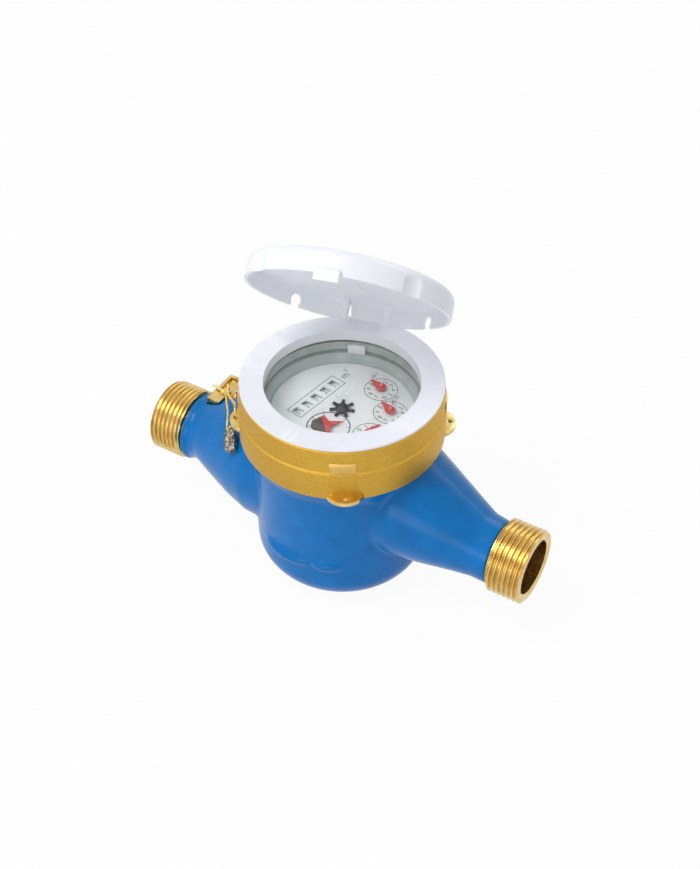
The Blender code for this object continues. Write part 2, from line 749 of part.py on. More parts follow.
def grips(side, rim, top, middle, swing):
    """The hollow where a finger lifts the lid, and the notch in its rear rim."""
    x, y, _ = polar(LID_R - GRIP_DEPTH + GRIP_R, -90 + side * GRIP_ANGLE)
    hollow = rod("grip_%d" % side, GRIP_R, rim - LID_WALL, top - LID_SHOULDER + LID_WALL, parent=swing)
    hollow.location = (Vector(middle) + Vector((x, y, 0))) * MM
    angle = 90 - side * NOTCH_ANGLE
    notch = box("rim_notch_%d" % side, (4 * LID_WALL, NOTCH_W, 2 * NOTCH_H), (LID_R, 0, rim))
    notch.parent = swing
    notch.location = Vector(middle) * MM
    notch.rotation_euler = (0, 0, radians(angle))
    return hollow, notch


def turned_sector(name, inner, outer, low, high, spread):
    """A curved plate centred on -Y."""
    steps = 4
    angles = [-90 - spread / 2 + spread * k / steps for k in range(steps + 1)]
    outline = [polar(outer, a)[:2] for a in angles] + [polar(inner, a)[:2] for a in reversed(angles)]
    return prism(name, outline, low, high)


def make_hinge_pin(hinge):
    half = HINGE_PLATE_W / 2 + GAP + EAR_W
    rod("hinge_pin", PIN_R, -half, half, STEEL, sides=8, parent=hinge, turn=(0, pi / 2, 0))


def make_glass():
    """The clear moulded cover: a pane with a skirt that stands on the gasket."""
    inner = GLASS_R - COVER_SKIRT
    under = GLASS_TOP_Z - COVER_PANE
    profile = [(0, GLASS_TOP_Z), (GLASS_R - COVER_EDGE, GLASS_TOP_Z), (GLASS_R, GLASS_TOP_Z - COVER_EDGE),
               (GLASS_R, GLASS_Z), (inner, GLASS_Z), (inner, under), (0, under)]
    turned("glass", profile, GLASS, sides=INNER_ROUND)
    turned("glass_gasket", tube_profile(GLASS_R, BEZEL_INNER_R, GASKET_Z, GASKET_Z + GASKET_T), RUBBER,
           sides=INNER_ROUND)


def make_can():
    """The register can: floor, wall, dial ledge, sloped upper wall and clamping flange."""
    floor_top = CAN_Z + CAN_WALL
    under_r = DIAL_R - DIAL_LEDGE
    outer = CAN_R
    profile = [
        (0, floor_top),
        (under_r, floor_top),
        (under_r, DIAL_UNDER_Z - GAP),
        (DIAL_R + GAP, DIAL_UNDER_Z - GAP),
        (DIAL_R + GAP, DIAL_Z + RIM_LEDGE_Z - GAP),
        (DIAL_R + RIM_LEDGE, DIAL_Z + RIM_LEDGE_Z),
        (BEZEL_INNER_R - GAP, CAN_TOP_Z),
        (CAN_FLANGE_R, CAN_TOP_Z),
        (CAN_FLANGE_R, CAN_TOP_Z - CAN_FLANGE_T),
        (outer, CAN_TOP_Z - CAN_FLANGE_T),
        (outer, CAN_Z),
        (0, CAN_Z),
    ]
    can = turned("register_housing", profile, GREY, sides=INNER_ROUND)
    turn = (0, 0, radians(READING))
    shafts = shaft_places()
    for index, (e1, low_e2, high_e2, high_z) in enumerate(shaft_posts()):
        post = box("shaft_post_%d" % index, (SHAFT_POST_T, high_e2 - low_e2, high_z - CAN_Z - CAN_WALL / 2),
                   (e1, (low_e2 + high_e2) / 2, (high_z + CAN_Z + CAN_WALL / 2) / 2), turn=turn)
        join(can, post)
    for word, (e2, z, radius) in shafts.items():
        reach = sqrt(DIAL_R**2 - e2**2) - 2 * SHAFT_POST_T
        bore = rod(word + "_seat", radius + PIN_CLEAR, -reach, reach, sides=SPINDLE_SIDES,
                   at=on_dial(0, e2, z), turn=(pi / 2, 0, radians(READING) + pi / 2))
        cut(can, bore)


def shaft_places():
    """Across-dial place, height and radius of the two drum shafts."""
    apart = DRUM_MODULE * (DRUM_TEETH + TRANSFER_TEETH) / 2
    a = radians(TRANSFER_ANGLE)
    return {
        "drum_shaft": (DRUM_AXIS_E2, DRUM_AXIS_Z, DRUM_SHAFT_R),
        "transfer_shaft": (DRUM_AXIS_E2 + apart * cos(a), DRUM_AXIS_Z + apart * sin(a), ARBOR_R),
    }


def shaft_posts():
    """Posts on the can's floor that hold the shafts: (e1, e2 from, e2 to, top)."""
    e2, z, radius = shaft_places()["transfer_shaft"]
    left = drum_e1(DRUMS - 1) - DRUM_W / 2 - GAP - SHAFT_POST_T / 2
    right = drum_e1(0) + DRUM_W / 2 + GAP + SHAFT_POST_T / 2
    far_right = train_places()["worm"][0] + WORM_WHEEL_T / 2 + GAP + SHAFT_POST_T / 2
    wide = DRUM_SHAFT_R + SEAT_WALL
    return (
        (left, DRUM_AXIS_E2 - wide, e2 + wide, DRUM_AXIS_Z + wide),
        (right, e2 - wide, e2 + wide, z + wide),
        (far_right, DRUM_AXIS_E2 - wide, DRUM_AXIS_E2 + wide, DRUM_AXIS_Z + wide),
    )


def make_dial():
    outline = [(0, DIAL_Z), (DIAL_R, DIAL_Z), (DIAL_R, DIAL_UNDER_Z), (0, DIAL_UNDER_Z)]
    dial = turned("dial_plate", outline, DIAL_WHITE, sides=INNER_ROUND)
    for index in range(DRUMS):
        window = box("window_%d" % index, (*WINDOW, 3 * DIAL_T), (0, 0, DIAL_Z - DIAL_T / 2))
        x, y, _ = on_dial(drum_e1(index), DRUM_AXIS_E2)
        window.location = (x * MM, y * MM, 0)
        window.rotation_euler = (0, 0, radians(READING))
        cut(dial, window)
    for index, (e1, e2) in enumerate(((0, 0), LARGE_DIAL, DIAL_3, DIAL_2, DIAL_1)):
        hole = rod("arbor_hole_%d" % index, ARBOR_R + GAP, DIAL_Z - 2 * DIAL_T, DIAL_Z + DIAL_T, sides=8)
        hole.location = Vector(on_dial(e1, e2)) * MM
        cut(dial, hole)


def drum_e1(index):
    """Place of drum 0 (units, right) to drum 4 (left) along the row."""
    return DRUM_ROW_E1 + ((DRUMS - 1) / 2 - index) * DRUM_PITCH


def tooth_outline(teeth, module, phase):
    """Slim pointed clock teeth, which run with play on either flank."""
    pitch = 2 * pi / teeth
    root = module * (teeth / 2 - DEDENDUM)
    tip = module * (teeth / 2 + ADDENDUM)
    points = []
    for k in range(teeth):
        a = phase + k * pitch
        points.append((tip * cos(a), tip * sin(a)))
        points.append((root * cos(a + pitch / 2), root * sin(a + pitch / 2)))
    return points


def follow_phase(driver_phase, driver_teeth, driven_teeth, direction):
    """Phase that puts the driven gear's gap where the driver's tooth comes. direction: driver to driven."""
    turned_by = (direction - driver_phase) * driver_teeth / (2 * pi)
    return direction + pi - (0.5 - turned_by) * 2 * pi / driven_teeth


def heading(start, end):
    return atan2(end[1] - start[1], end[0] - start[0])


def meet(start, end, near, far, side):
    """The point at two given distances from two others, left (+1) or right (-1) of their line."""
    apart = hypot(end[0] - start[0], end[1] - start[1])
    along = (apart**2 + near**2 - far**2) / (2 * apart)
    across = side * sqrt(max(0.0, near**2 - along**2))
    a = heading(start, end)
    return (start[0] + along * cos(a) - across * sin(a), start[1] + along * sin(a) + across * cos(a))


def layer(number):
    return TRAIN_Z + number * LAYER


def arbor(name, at, low, high, gears, material=GEAR_WHITE):
    """A moulded arbor: a spindle with its gears, each (teeth, module, phase, low, high)."""
    where = on_dial(*at)
    turn = (0, 0, radians(READING))
    spindle = rod(name, ARBOR_R, low, high, material, sides=SPINDLE_SIDES, at=where, turn=turn)
    for index, (teeth, module, phase, gear_low, gear_high) in enumerate(gears):
        gear = prism("%s_gear_%d" % (name, index), tooth_outline(teeth, module, phase), gear_low, gear_high)
        gear.location = Vector(where) * MM
        gear.rotation_euler = turn
        join(spindle, gear)
    return spindle


def train_places():
    """Axes of the whole train on the dial, from the centre out to the worm."""
    fast = FAST_MODULE * (PINION_TEETH + FAST_TEETH) / 2
    near = SLOW_MODULE * (PINION_TEETH + IDLER_TEETH) / 2
    far = SLOW_MODULE * (PINION_TEETH + POINTER_TEETH) / 2
    places = {"centre": (0.0, 0.0), "large": LARGE_DIAL, "d3": DIAL_3, "d2": DIAL_2, "d1": DIAL_1}
    places["idler_1"] = meet(places["centre"], places["large"], fast, fast, 1)
    steps = (("large", "d3", "idler_2", -1), ("d3", "d2", "idler_3", 1), ("d2", "d1", "idler_4", 1))
    for start, end, between, side in steps:
        places[between] = meet(places[start], places[end], near, far, side)
    places["worm"] = (DIAL_1[0] + WORM_PAST_DIAL_1, DRUM_AXIS_E2 - WORM_R - WORM_WHEEL_R)
    return places


def train_phases(at):
    """Turn each arbor so that its wheel's gaps stand where the driver's teeth come."""
    phases = {"centre": heading(at["centre"], at["idler_1"])}
    for driver, driven, teeth, _, _ in TRAIN:
        phases[driven] = follow_phase(phases[driver], PINION_TEETH, teeth, heading(at[driver], at[driven]))
    phases["worm"] = follow_phase(phases["d1"], EQUAL_TEETH, EQUAL_TEETH, heading(at["d1"], at["worm"]))
    return phases


def train_gears(at, phases):
    """Every gear by its arbor, as (teeth, module, phase, low, high)."""
    gears = {key: [] for key in at}
    for driver, driven, teeth, module, number in TRAIN:
        low = layer(number)
        pinion = (PINION_TEETH, module, phases[driver], low - PINION_LONGER, low + GEAR_T + PINION_LONGER)
        gears[driver].append(pinion)
        gears[driven].append((teeth, module, phases[driven], low, low + GEAR_T))
    for key in ("d1", "worm"):
        gears[key].append((EQUAL_TEETH, equal_module(at), phases[key], TOP_GEAR_Z, TOP_GEAR_Z + TOP_GEAR_T))
    return gears


def make_train():
    """Every arbor with its gears, each in mesh with the one that drives it."""
    at = train_places()
    gears = train_gears(at, train_phases(at))
    top = DIAL_UNDER_Z - GAP
    low = GEAR_PLATE_Z + PLATE_2_T + GAP
    arbor("centre_arbor", at["centre"], CAN_Z + CAN_WALL + GAP, STAR_SEAT_Z, gears["centre"])
    for number in range(1, 5):
        key = "idler_%d" % number
        arbor("idler_wheel_%d" % number, at[key], low, top, gears[key])
    for number, key in enumerate(("large", "d3", "d2", "d1"), 1):
        arbor("pointer_arbor_%d" % number, at[key], low, ARBOR_TOP_Z, gears[key])
    join(arbor("worm_arbor", at["worm"], low, top, gears["worm"]), worm(at["worm"]))


def equal_module(at):
    apart = hypot(at["worm"][0] - at["d1"][0], at["worm"][1] - at["d1"][1])
    return apart / EQUAL_TEETH


def worm(at):
    """The worm: a stem with a single-start thread, one wheel tooth of lead, its middle facing the wheel."""
    lead = 2 * pi * WORM_WHEEL_R / WORM_TEETH
    root = WORM_CORE_R - 0.3
    steps = 8
    total = int(WORM_TURNS * steps)
    bm = bmesh.new()
    loops = []
    for k in range(total + 1):
        a = 2 * pi * k / steps
        z = DRUM_AXIS_Z + lead * (k / steps - WORM_TURNS / 2)
        crest = WORM_CREST_R
        section = ((root, -WORM_FOOT), (crest, -WORM_TOP), (crest, WORM_TOP), (root, WORM_FOOT))
        loops.append([bm.verts.new((r * cos(a), r * sin(a), z + up)) for r, up in section])
    count = len(loops[0])
    for near, far in zip(loops, loops[1:]):
        for side in range(count):
            after = (side + 1) % count
            bm.faces.new((near[side], far[side], far[after], near[after]))
    bm.faces.new(loops[0])
    bm.faces.new(loops[-1])
    where = Vector(on_dial(*at)) * MM
    thread = from_bmesh("worm_thread", bm, turn=(0, 0, radians(READING + 90) - pi * WORM_TURNS))
    thread.location = where
    half = lead * WORM_TURNS / 2 + ARBOR_R
    stem = rod("worm_stem", WORM_CORE_R, DRUM_AXIS_Z - half, DRUM_AXIS_Z + half, sides=7, turn=(0, 0, 0.3))
    stem.location = where
    join(stem, thread)
    return stem


def make_gear_plate():
    """The lower train plate: stands on three feet, cut back from the drums, bored for the centre arbor."""
    edge = DIAL_R - DIAL_LEDGE - 3 * GAP
    plate = rod("gear_plate", edge, GEAR_PLATE_Z, GEAR_PLATE_Z + PLATE_2_T, GREY, sides=INNER_ROUND)
    turn = (0, 0, radians(READING))
    wide = DIAL_R + WORM_BAY_E1
    away = box("drum_bay", (wide, DIAL_R, 6 * PLATE_2_T),
               (WORM_BAY_E1 - wide / 2, BAY_E2 + DIAL_R / 2, GEAR_PLATE_Z), turn=turn)
    beside = box("worm_bay", (DIAL_R, DIAL_R, 5 * PLATE_2_T),
                 (WORM_BAY_E1 + DIAL_R / 2 - PLATE_2_T, WORM_BAY_E2 + DIAL_R / 2, GEAR_PLATE_Z), turn=turn)
    cut(plate, away, beside)
    for index, angle in enumerate((-30.0, -90.0, -150.0)):
        at = polar(FOOT_AT, angle + READING)
        middle = GEAR_PLATE_Z + PLATE_2_T / 2
        foot = rod("foot_%d" % index, FOOT_R, CAN_Z + CAN_WALL + GAP, middle, sides=10, at=at)
        post = rod("post_%d" % index, POST_R, middle, DIAL_UNDER_Z - GAP, sides=10, at=at)
        join(plate, foot, post)
    hole_h = 3 * PLATE_2_T
    cut(plate, rod("plate_hole", ARBOR_R + GAP, GEAR_PLATE_Z - hole_h, GEAR_PLATE_Z + hole_h, sides=8))


def make_drums():
    """Five figure drums, their shaft, and the transfer pinions between them."""
    turn = (pi / 2, 0, radians(READING) + pi / 2)
    centre = on_dial(0, DRUM_AXIS_E2, DRUM_AXIS_Z)
    bore = DRUM_SHAFT_R + GAP
    a = radians(TRANSFER_ANGLE)
    transfer = on_dial(0, *shaft_places()["transfer_shaft"][:2])
    contact = atan2(sin(a), -cos(a))
    half = DRUM_W / 2
    wheel_e1 = train_places()["worm"][0]
    sleeve_end = wheel_e1 + WORM_WHEEL_T / 2
    for index in range(DRUMS):
        middle = drum_e1(index)
        drum = rod("number_drum_%d" % (index + 1), DRUM_R, middle - half, middle + half, DIAL_WHITE,
                   sides=14, at=centre, turn=turn)
        end = middle + half + DRUM_GEAR_T
        if index > 0:
            join(drum, prism("drum_gear_%d" % index, tooth_outline(DRUM_TEETH, DRUM_MODULE, contact),
                             middle, end, at=centre, turn=turn))
            phase = follow_phase(contact, DRUM_TEETH, TRANSFER_TEETH, contact)
            side = middle + half
            pinion = prism("transfer_pinion_%d" % index, tooth_outline(TRANSFER_TEETH, DRUM_MODULE, phase),
                           side + PINION_LONGER, side + TRANSFER_W, GEAR_WHITE, at=transfer, turn=turn)
            pinion_bore = rod("pinion_bore_%d" % index, ARBOR_R + GAP, middle, side + half, sides=SPINDLE_SIDES,
                              at=transfer, turn=turn)
            cut(pinion, pinion_bore)
        else:
            end = sleeve_end
            sleeve = rod("drum_sleeve", bore + DRUM_SHAFT_R, middle, wheel_e1, at=centre, turn=turn, sides=10)
            teeth = tooth_outline(WORM_TEETH, 2 * WORM_WHEEL_R / WORM_TEETH, worm_wheel_phase())
            wheel = prism("worm_wheel", teeth, wheel_e1 - WORM_WHEEL_T / 2, sleeve_end, at=centre, turn=turn)
            join(drum, sleeve, wheel)
        drum_bore = rod("drum_bore_%d" % index, bore, middle - DRUM_W, end + DRUM_W, sides=SPINDLE_SIDES,
                        at=centre, turn=turn)
        cut(drum, drum_bore)
    past = GAP + SHAFT_POST_T + SHAFT_PAST_POST
    left = drum_e1(DRUMS - 1) - half - past
    rod("drum_shaft", DRUM_SHAFT_R, left, sleeve_end + past, STEEL, sides=SPINDLE_SIDES, at=centre, turn=turn)
    right = drum_e1(0) + half + past
    rod("transfer_shaft", ARBOR_R, left, right, STEEL, sides=SPINDLE_SIDES, at=transfer, turn=turn)


def worm_wheel_phase():
    """The worm's thread runs through the line of centres, so the wheel has a gap there."""
    return pi + pi / WORM_TEETH


def make_pointers():
    """Teardrop pointers pressed on their arbors, and the black flow star on the centre arbor."""
    places = (LARGE_DIAL, DIAL_3, DIAL_2, DIAL_1)
    for number, (place_at, tilt) in enumerate(zip(places, POINTER_HEADINGS), 1):
        large = number == 1
        long = LARGE_POINTER_LENGTH if large else POINTER_LENGTH
        wide = LARGE_POINTER_HUB_R if large else POINTER_HUB_R
        round_end = [polar(wide, angle)[:2] for angle in range(60, 301, 40)]
        outline = [(long, 0.0), (long * 0.45, wide * 0.75)] + round_end + [(long * 0.45, -wide * 0.75)]
        at = on_dial(*place_at)
        pointer = prism("pointer_%d" % number, outline, POINTER_Z, POINTER_Z + POINTER_T, RED, at=at,
                        turn=(0, 0, radians(tilt)))
        hub = rod("pointer_hub_%d" % number, POINTER_HUB_R - GAP, POINTER_Z - GAP / 2,
                  POINTER_Z + POINTER_HUB_H, sides=8, at=at)
        bore = rod("pointer_bore_%d" % number, ARBOR_R + GAP, POINTER_Z - STAR_T, ARBOR_TOP_Z + GAP,
                   sides=SPINDLE_SIDES)
        bore.location = Vector(at) * MM
        bore.rotation_euler = (0, 0, radians(READING))
        join(pointer, hub)
        cut(pointer, bore)
    outline = []
    for k in range(STAR_ARMS):
        a = 360 * k / STAR_ARMS
        outline += [polar(STAR_ROOT_R, a - 25)[:2], polar(STAR_R, a - 9)[:2], polar(STAR_R, a + 9)[:2]]
    low = DIAL_Z + GAP
    star = prism("star_wheel", outline, low, low + STAR_T, BLACK)
    hub = rod("star_hub", STAR_HUB_R, low + STAR_T / 2, DIAL_Z + STAR_HUB_H + GAP, sides=10)
    join(star, hub)
    cut(star, rod("star_bore", ARBOR_R + GAP, DIAL_Z - STAR_T, STAR_SEAT_Z + GAP, sides=SPINDLE_SIDES,
                  turn=(0, 0, radians(READING))))


def make_magnets():
    inner = ARBOR_R + GAP
    low = CAN_Z + CAN_WALL + 2 * GAP
    follower = tube_profile(MAGNET_R, inner, low, GEAR_PLATE_Z - 2 * GAP)
    turned("follower_magnet", follower, BLACK, sides=SMALL_ROUND)
    top = SPINDLE_TOP_Z + PLATE_T / 2
    driver = tube_profile(MAGNET_R, SPINDLE_R + GAP, top - MAGNET_T, top)
    turned("drive_magnet", driver, BLACK, sides=SMALL_ROUND)


def make_pressure_plate():
    top = PLATE_Z + PLATE_T
    well = MAGNET_R + MAGNET_ROOM
    roof = PLATE_Z + PLATE_T / 2 + 2 * GAP
    outer = BODY_RIM_INNER_R - GAP
    profile = [(0, top), (outer - 2 * GAP, top), (outer, top - 2 * GAP), (outer, PLATE_Z), (well, PLATE_Z),
               (well, roof), (0, roof)]
    turned("pressure_plate", profile, BRASS, sides=INNER_ROUND)
    low = LEDGE_Z + GAP
    turned("plate_seal", tube_profile(outer, CAVITY_R - 2 * GAP, low, low + PLATE_SEAL_T), RUBBER,
           sides=INNER_ROUND)


def ports(name, low, high, skew, radius):
    """Cutters for a ring of slanted ports through a round wall."""
    made = []
    for k in range(JETS):
        port = box("%s_%d" % (name, k), (JET_LENGTH, JET_W, high - low),
                   (radius - JET_BACK, skew, (low + high) / 2))
        port.rotation_euler = (0, 0, 2 * pi * k / JETS)
        made.append(port)
    return made


def make_chamber():
    """Lower cup with slanted inlet jets, upper cup with outlet ports, and the impeller's pin."""
    inner = CHAMBER_R - CHAMBER_WALL
    seat = SEPTUM_Z + SEPTUM_T + GAP
    joint_z = seat + FLANGE_T
    floor_top = CHAMBER_FLOOR_Z + CHAMBER_WALL
    base_profile = [
        (PIVOT_R + GAP, floor_top), (inner, floor_top), (inner, joint_z), (CHAMBER_FLANGE_R, joint_z),
        (CHAMBER_FLANGE_R, seat), (CHAMBER_R, seat), (CHAMBER_R, CHAMBER_FLOOR_Z),
        (PIVOT_R + GAP, CHAMBER_FLOOR_Z),
    ]
    base = turned("chamber_base", base_profile, GREY, sides=INNER_ROUND)
    cut(base, *ports("jet", JET_Z[0], JET_Z[1], JET_SKEW, CHAMBER_R))
    low = joint_z + GAP
    roof = COVER_TOP_Z
    bush = SPINDLE_R + SPINDLE_ROOM
    cover_profile = [
        (bush, roof), (CHAMBER_R, roof), (CHAMBER_R, low), (inner, low),
        (inner, roof - CHAMBER_WALL), (bush, roof - CHAMBER_WALL),
    ]
    cover = turned("chamber_cover", cover_profile, GREY, sides=INNER_ROUND)
    cut(cover, *ports("port", EXIT_Z[0], EXIT_Z[1], -JET_SKEW, CHAMBER_R))
    pin_top = BLADE_Z[0] + PIVOT_SEAT - 3 * GAP
    head_r = PIVOT_R + PIVOT_HEAD
    head_z = CHAMBER_FLOOR_Z - GAP
    pin_profile = [
        (0, pin_top), (PIVOT_R, pin_top - PIVOT_R), (PIVOT_R, head_z), (head_r, head_z),
        (head_r, head_z - PIVOT_HEAD_T), (0, head_z - PIVOT_HEAD_T),
    ]
    turned("pivot_pin", pin_profile, STEEL, sides=SMALL_ROUND)


def make_strainer():
    """The strainer basket round the chamber, turned in at its foot, with slots all round."""
    top = SEPTUM_Z - GAP
    low = FLOOR + GAP
    inner = STRAINER_R - STRAINER_WALL
    foot = BASE_R - STRAINER_FOOT_BACK
    corner = FLOOR + CAVITY_CORNER
    profile = [
        (inner, top), (STRAINER_R, top), (STRAINER_R, corner + STRAINER_FOOT_BACK), (foot, low),
        (foot - STRAINER_FOOT_W, low), (foot - STRAINER_FOOT_W, low + STRAINER_WALL),
        (foot - STRAINER_WALL / 2, low + STRAINER_WALL),
        (inner, corner + STRAINER_FOOT_BACK + STRAINER_WALL / 2),
    ]
    strainer = turned("strainer", profile, GREY, sides=INNER_ROUND)
    slot_low, slot_high = STRAINER_SLOT_Z
    bars = None
    for k in range(STRAINER_SLOTS // 2):
        bar = box("strainer_slots_%d" % k, (3 * STRAINER_R, STRAINER_SLOT_W, slot_high - slot_low),
                  (0, 0, (slot_low + slot_high) / 2))
        bar.rotation_euler = (0, 0, 2 * pi * k / STRAINER_SLOTS)
        if bars:
            join(bars, bar)
        else:
            bars = bar
    cut(strainer, bars)


def make_impeller():
    low, high = BLADE_Z
    hub_profile = [
        (0, SPINDLE_TOP_Z), (SPINDLE_R, SPINDLE_TOP_Z), (SPINDLE_R, high + HUB_CONE), (HUB_R, high), (HUB_R, low),
        (PIVOT_R + GAP, low), (PIVOT_R + GAP, low + PIVOT_SEAT), (0, low + PIVOT_SEAT + PIVOT_R),
    ]
    impeller = turned("impeller", hub_profile, WHITE, sides=SMALL_ROUND)
    for k in range(BLADES):
        blade = box("blade_%d" % k, (BLADE_R - HUB_R + BLADE_SINK, BLADE_T, high - low - 2 * BLADE_SINK),
                    ((BLADE_R + HUB_R - BLADE_SINK) / 2, 0, (low + high) / 2))
        blade.rotation_euler = (0, 0, 2 * pi * k / BLADES)
        join(impeller, blade)


def make_screw():
    """The regulating screw: a bar head with a milled slot, on a shank in the neck's boss."""
    x, y = SCREW_AT
    width, long, tall = SCREW_BAR
    under = SCREW_TOP_Z - tall
    head = box("regulating_screw", SCREW_BAR, (0, 0, SCREW_TOP_Z - tall / 2), BRASS, at=(x, y, 0))
    join(head, rod("shank", SCREW_SHANK_R, STEM_Z, under + tall / 4, sides=16, at=(x, y, 0)))
    slot_x = SLOT_SIDE - (width - SLOT_W) / 2
    slot = box("milled_slot", (SLOT_W, SLOT_LENGTH, 2 * SLOT_DEPTH), (slot_x, 0, SCREW_TOP_Z))
    slot.location = (x * MM, y * MM, 0)
    hole = rod("seal_hole", WIRE_HOLE_R, under + tall / 4, SCREW_TOP_Z + tall, sides=10)
    hole.location = ((x + WIRE_HOLE_X) * MM, WIRE_HOLE_Y * MM, 0)
    cut(head, slot, hole)
    washer_low = under - GAP - WASHER_T
    washer = tube_profile(WASHER_R, SCREW_SHANK_R + GAP, washer_low, washer_low + WASHER_T)
    turned("screw_washer", washer, BRASS, at=(x, y, 0), sides=SMALL_ROUND)


def smooth_route(points, spacing):
    """Points read along a smooth curve through a chosen route."""
    vectors = [Vector(p) for p in points]
    padded = [2 * vectors[0] - vectors[1]] + vectors + [2 * vectors[-1] - vectors[-2]]
    route = []
    for before, start, end, after in zip(padded, padded[1:], padded[2:], padded[3:]):
        steps = max(1, round((end - start).length / spacing))
        for k in range(steps):
            t = k / steps
            bend = 2 * before - 5 * start + 4 * end - after
            twist = 3 * start - before - 3 * end + after
            route.append((2 * start + (end - before) * t + bend * t**2 + twist * t**3) / 2)
    return route + [vectors[-1]]


def make_wire():
    """The tied strand over the screw's bar, and the strand through its hole and round by the ring's lug."""
    for name, strand in (("seal_wire", TIED_STRAND), ("seal_wire_loop", LOOP_STRAND)):
        curve = bpy.data.curves.new(name, "CURVE")
        curve.dimensions = "3D"
        curve.bevel_depth = WIRE_R * MM
        curve.bevel_resolution = 1
        curve.use_fill_caps = True
        route = smooth_route(strand, WIRE_SPACING)
        spline = curve.splines.new("POLY")
        spline.points.add(len(route) - 1)
        for point, where in zip(spline.points, route):
            point.co = (*(where * MM), 1.0)
        curve.materials.append(BRASS)
        PARTS.objects.link(bpy.data.objects.new(name, curve))


def make_lead_seal():
    """The crimped lead: a rounded slug lying along the neck, bored for the two strands."""
    along = Vector(SEAL_ALONG).normalized()
    out = Vector(SEAL_OUT)
    out = (out - along * out.dot(along)).normalized()
    side = out.cross(along)
    frame = Matrix((along, side, out)).transposed().to_4x4()
    frame.translation = Vector(SEAL_AT) * MM
    bm = bmesh.new()
    bmesh.ops.create_uvsphere(bm, u_segments=10, v_segments=6, radius=0.5)
    for vertex in bm.verts:
        for axis in range(3):
            value = vertex.co[axis] * 2
            vertex.co[axis] = (abs(value) ** SEAL_ROUNDNESS) * (1 if value > 0 else -1) / 2
    bmesh.ops.scale(bm, vec=SEAL_SIZE, verts=bm.verts)
    seal = from_bmesh("lead_seal", bm, LEAD)
    seal.matrix_world = frame
    for index, strand in enumerate((TIED_STRAND, LOOP_STRAND)):
        end = Vector(strand[-1])
        back = (end - Vector(strand[-2])).normalized()
        hole = rod("seal_bore_%d" % index, SEAL_BORE_R, -SEAL_SIZE[2], WIRE_R, sides=10)
        turn = back.to_track_quat("Z", "Y").to_matrix().to_4x4()
        turn.translation = end * MM
        hole.matrix_world = turn
        cut(seal, hole)


def main():
    turntable = empty("bezel_turntable", (0, 0, 0))
    hinge = empty("lid_hinge", polar(HINGE_R, HINGE_ANGLE, HINGE_Z), turntable)
    hinge.rotation_euler = (0, 0, radians(HINGE_ANGLE - 90))
    swing = empty("lid_swing", (0, 0, 0), hinge)
    swing.rotation_euler = (radians(-LID_OPEN), 0, 0)
    make_body()
    make_ring()
    make_bezel(turntable, hinge)
    make_lid(swing)
    make_hinge_pin(hinge)
    make_glass()
    make_can()
    make_dial()
    make_train()
    make_gear_plate()
    make_drums()
    make_pointers()
    make_magnets()
    make_pressure_plate()
    make_chamber()
    make_strainer()
    make_impeller()
    make_screw()
    make_wire()
    make_lead_seal()


main()
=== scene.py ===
import math
import bpy
from mathutils import Matrix, Vector


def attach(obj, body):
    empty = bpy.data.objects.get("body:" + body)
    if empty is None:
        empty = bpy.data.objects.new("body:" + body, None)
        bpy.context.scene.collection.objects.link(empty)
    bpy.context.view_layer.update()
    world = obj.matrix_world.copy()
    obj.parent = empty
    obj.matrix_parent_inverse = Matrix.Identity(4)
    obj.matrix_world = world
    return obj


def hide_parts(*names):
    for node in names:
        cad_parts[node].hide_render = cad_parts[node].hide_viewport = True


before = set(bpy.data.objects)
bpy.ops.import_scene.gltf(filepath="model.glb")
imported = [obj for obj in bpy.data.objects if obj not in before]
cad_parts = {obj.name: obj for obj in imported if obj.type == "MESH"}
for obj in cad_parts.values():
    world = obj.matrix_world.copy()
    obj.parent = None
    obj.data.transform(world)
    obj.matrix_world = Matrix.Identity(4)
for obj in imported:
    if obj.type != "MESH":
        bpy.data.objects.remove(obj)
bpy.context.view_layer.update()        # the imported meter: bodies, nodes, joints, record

# Water meter with its lid open. Sizes are in millimetres, and mm turns them into Blender's metres.
mm = 0.001


# Small tools

def deselect():
    if bpy.context.object and bpy.context.object.mode != "OBJECT":
        bpy.ops.object.mode_set(mode="OBJECT")
    bpy.ops.object.select_all(action="DESELECT")


def pick(piece):
    deselect()
    piece.select_set(True)
    bpy.context.view_layer.objects.active = piece


def settle(piece):
    # place goes into the mesh, as on the CAD nodes
    pick(piece)
    bpy.ops.object.transform_apply(location=True, rotation=True, scale=True)


def editAll(piece):
    pick(piece)
    bpy.ops.object.mode_set(mode="EDIT")
    bpy.ops.mesh.select_all(action="SELECT")


def tidyMesh(piece, apart=0.005):
    editAll(piece)
    bpy.ops.mesh.remove_doubles(threshold=apart * mm)
    bpy.ops.mesh.normals_make_consistent(inside=False)
    bpy.ops.object.mode_set(mode="OBJECT")


def closeHoles(piece):
    editAll(piece)
    bpy.ops.mesh.select_all(action="DESELECT")
    bpy.ops.mesh.select_mode(type="EDGE")
    bpy.ops.mesh.select_non_manifold()
    bpy.ops.mesh.edge_face_add()
    bpy.ops.object.mode_set(mode="OBJECT")


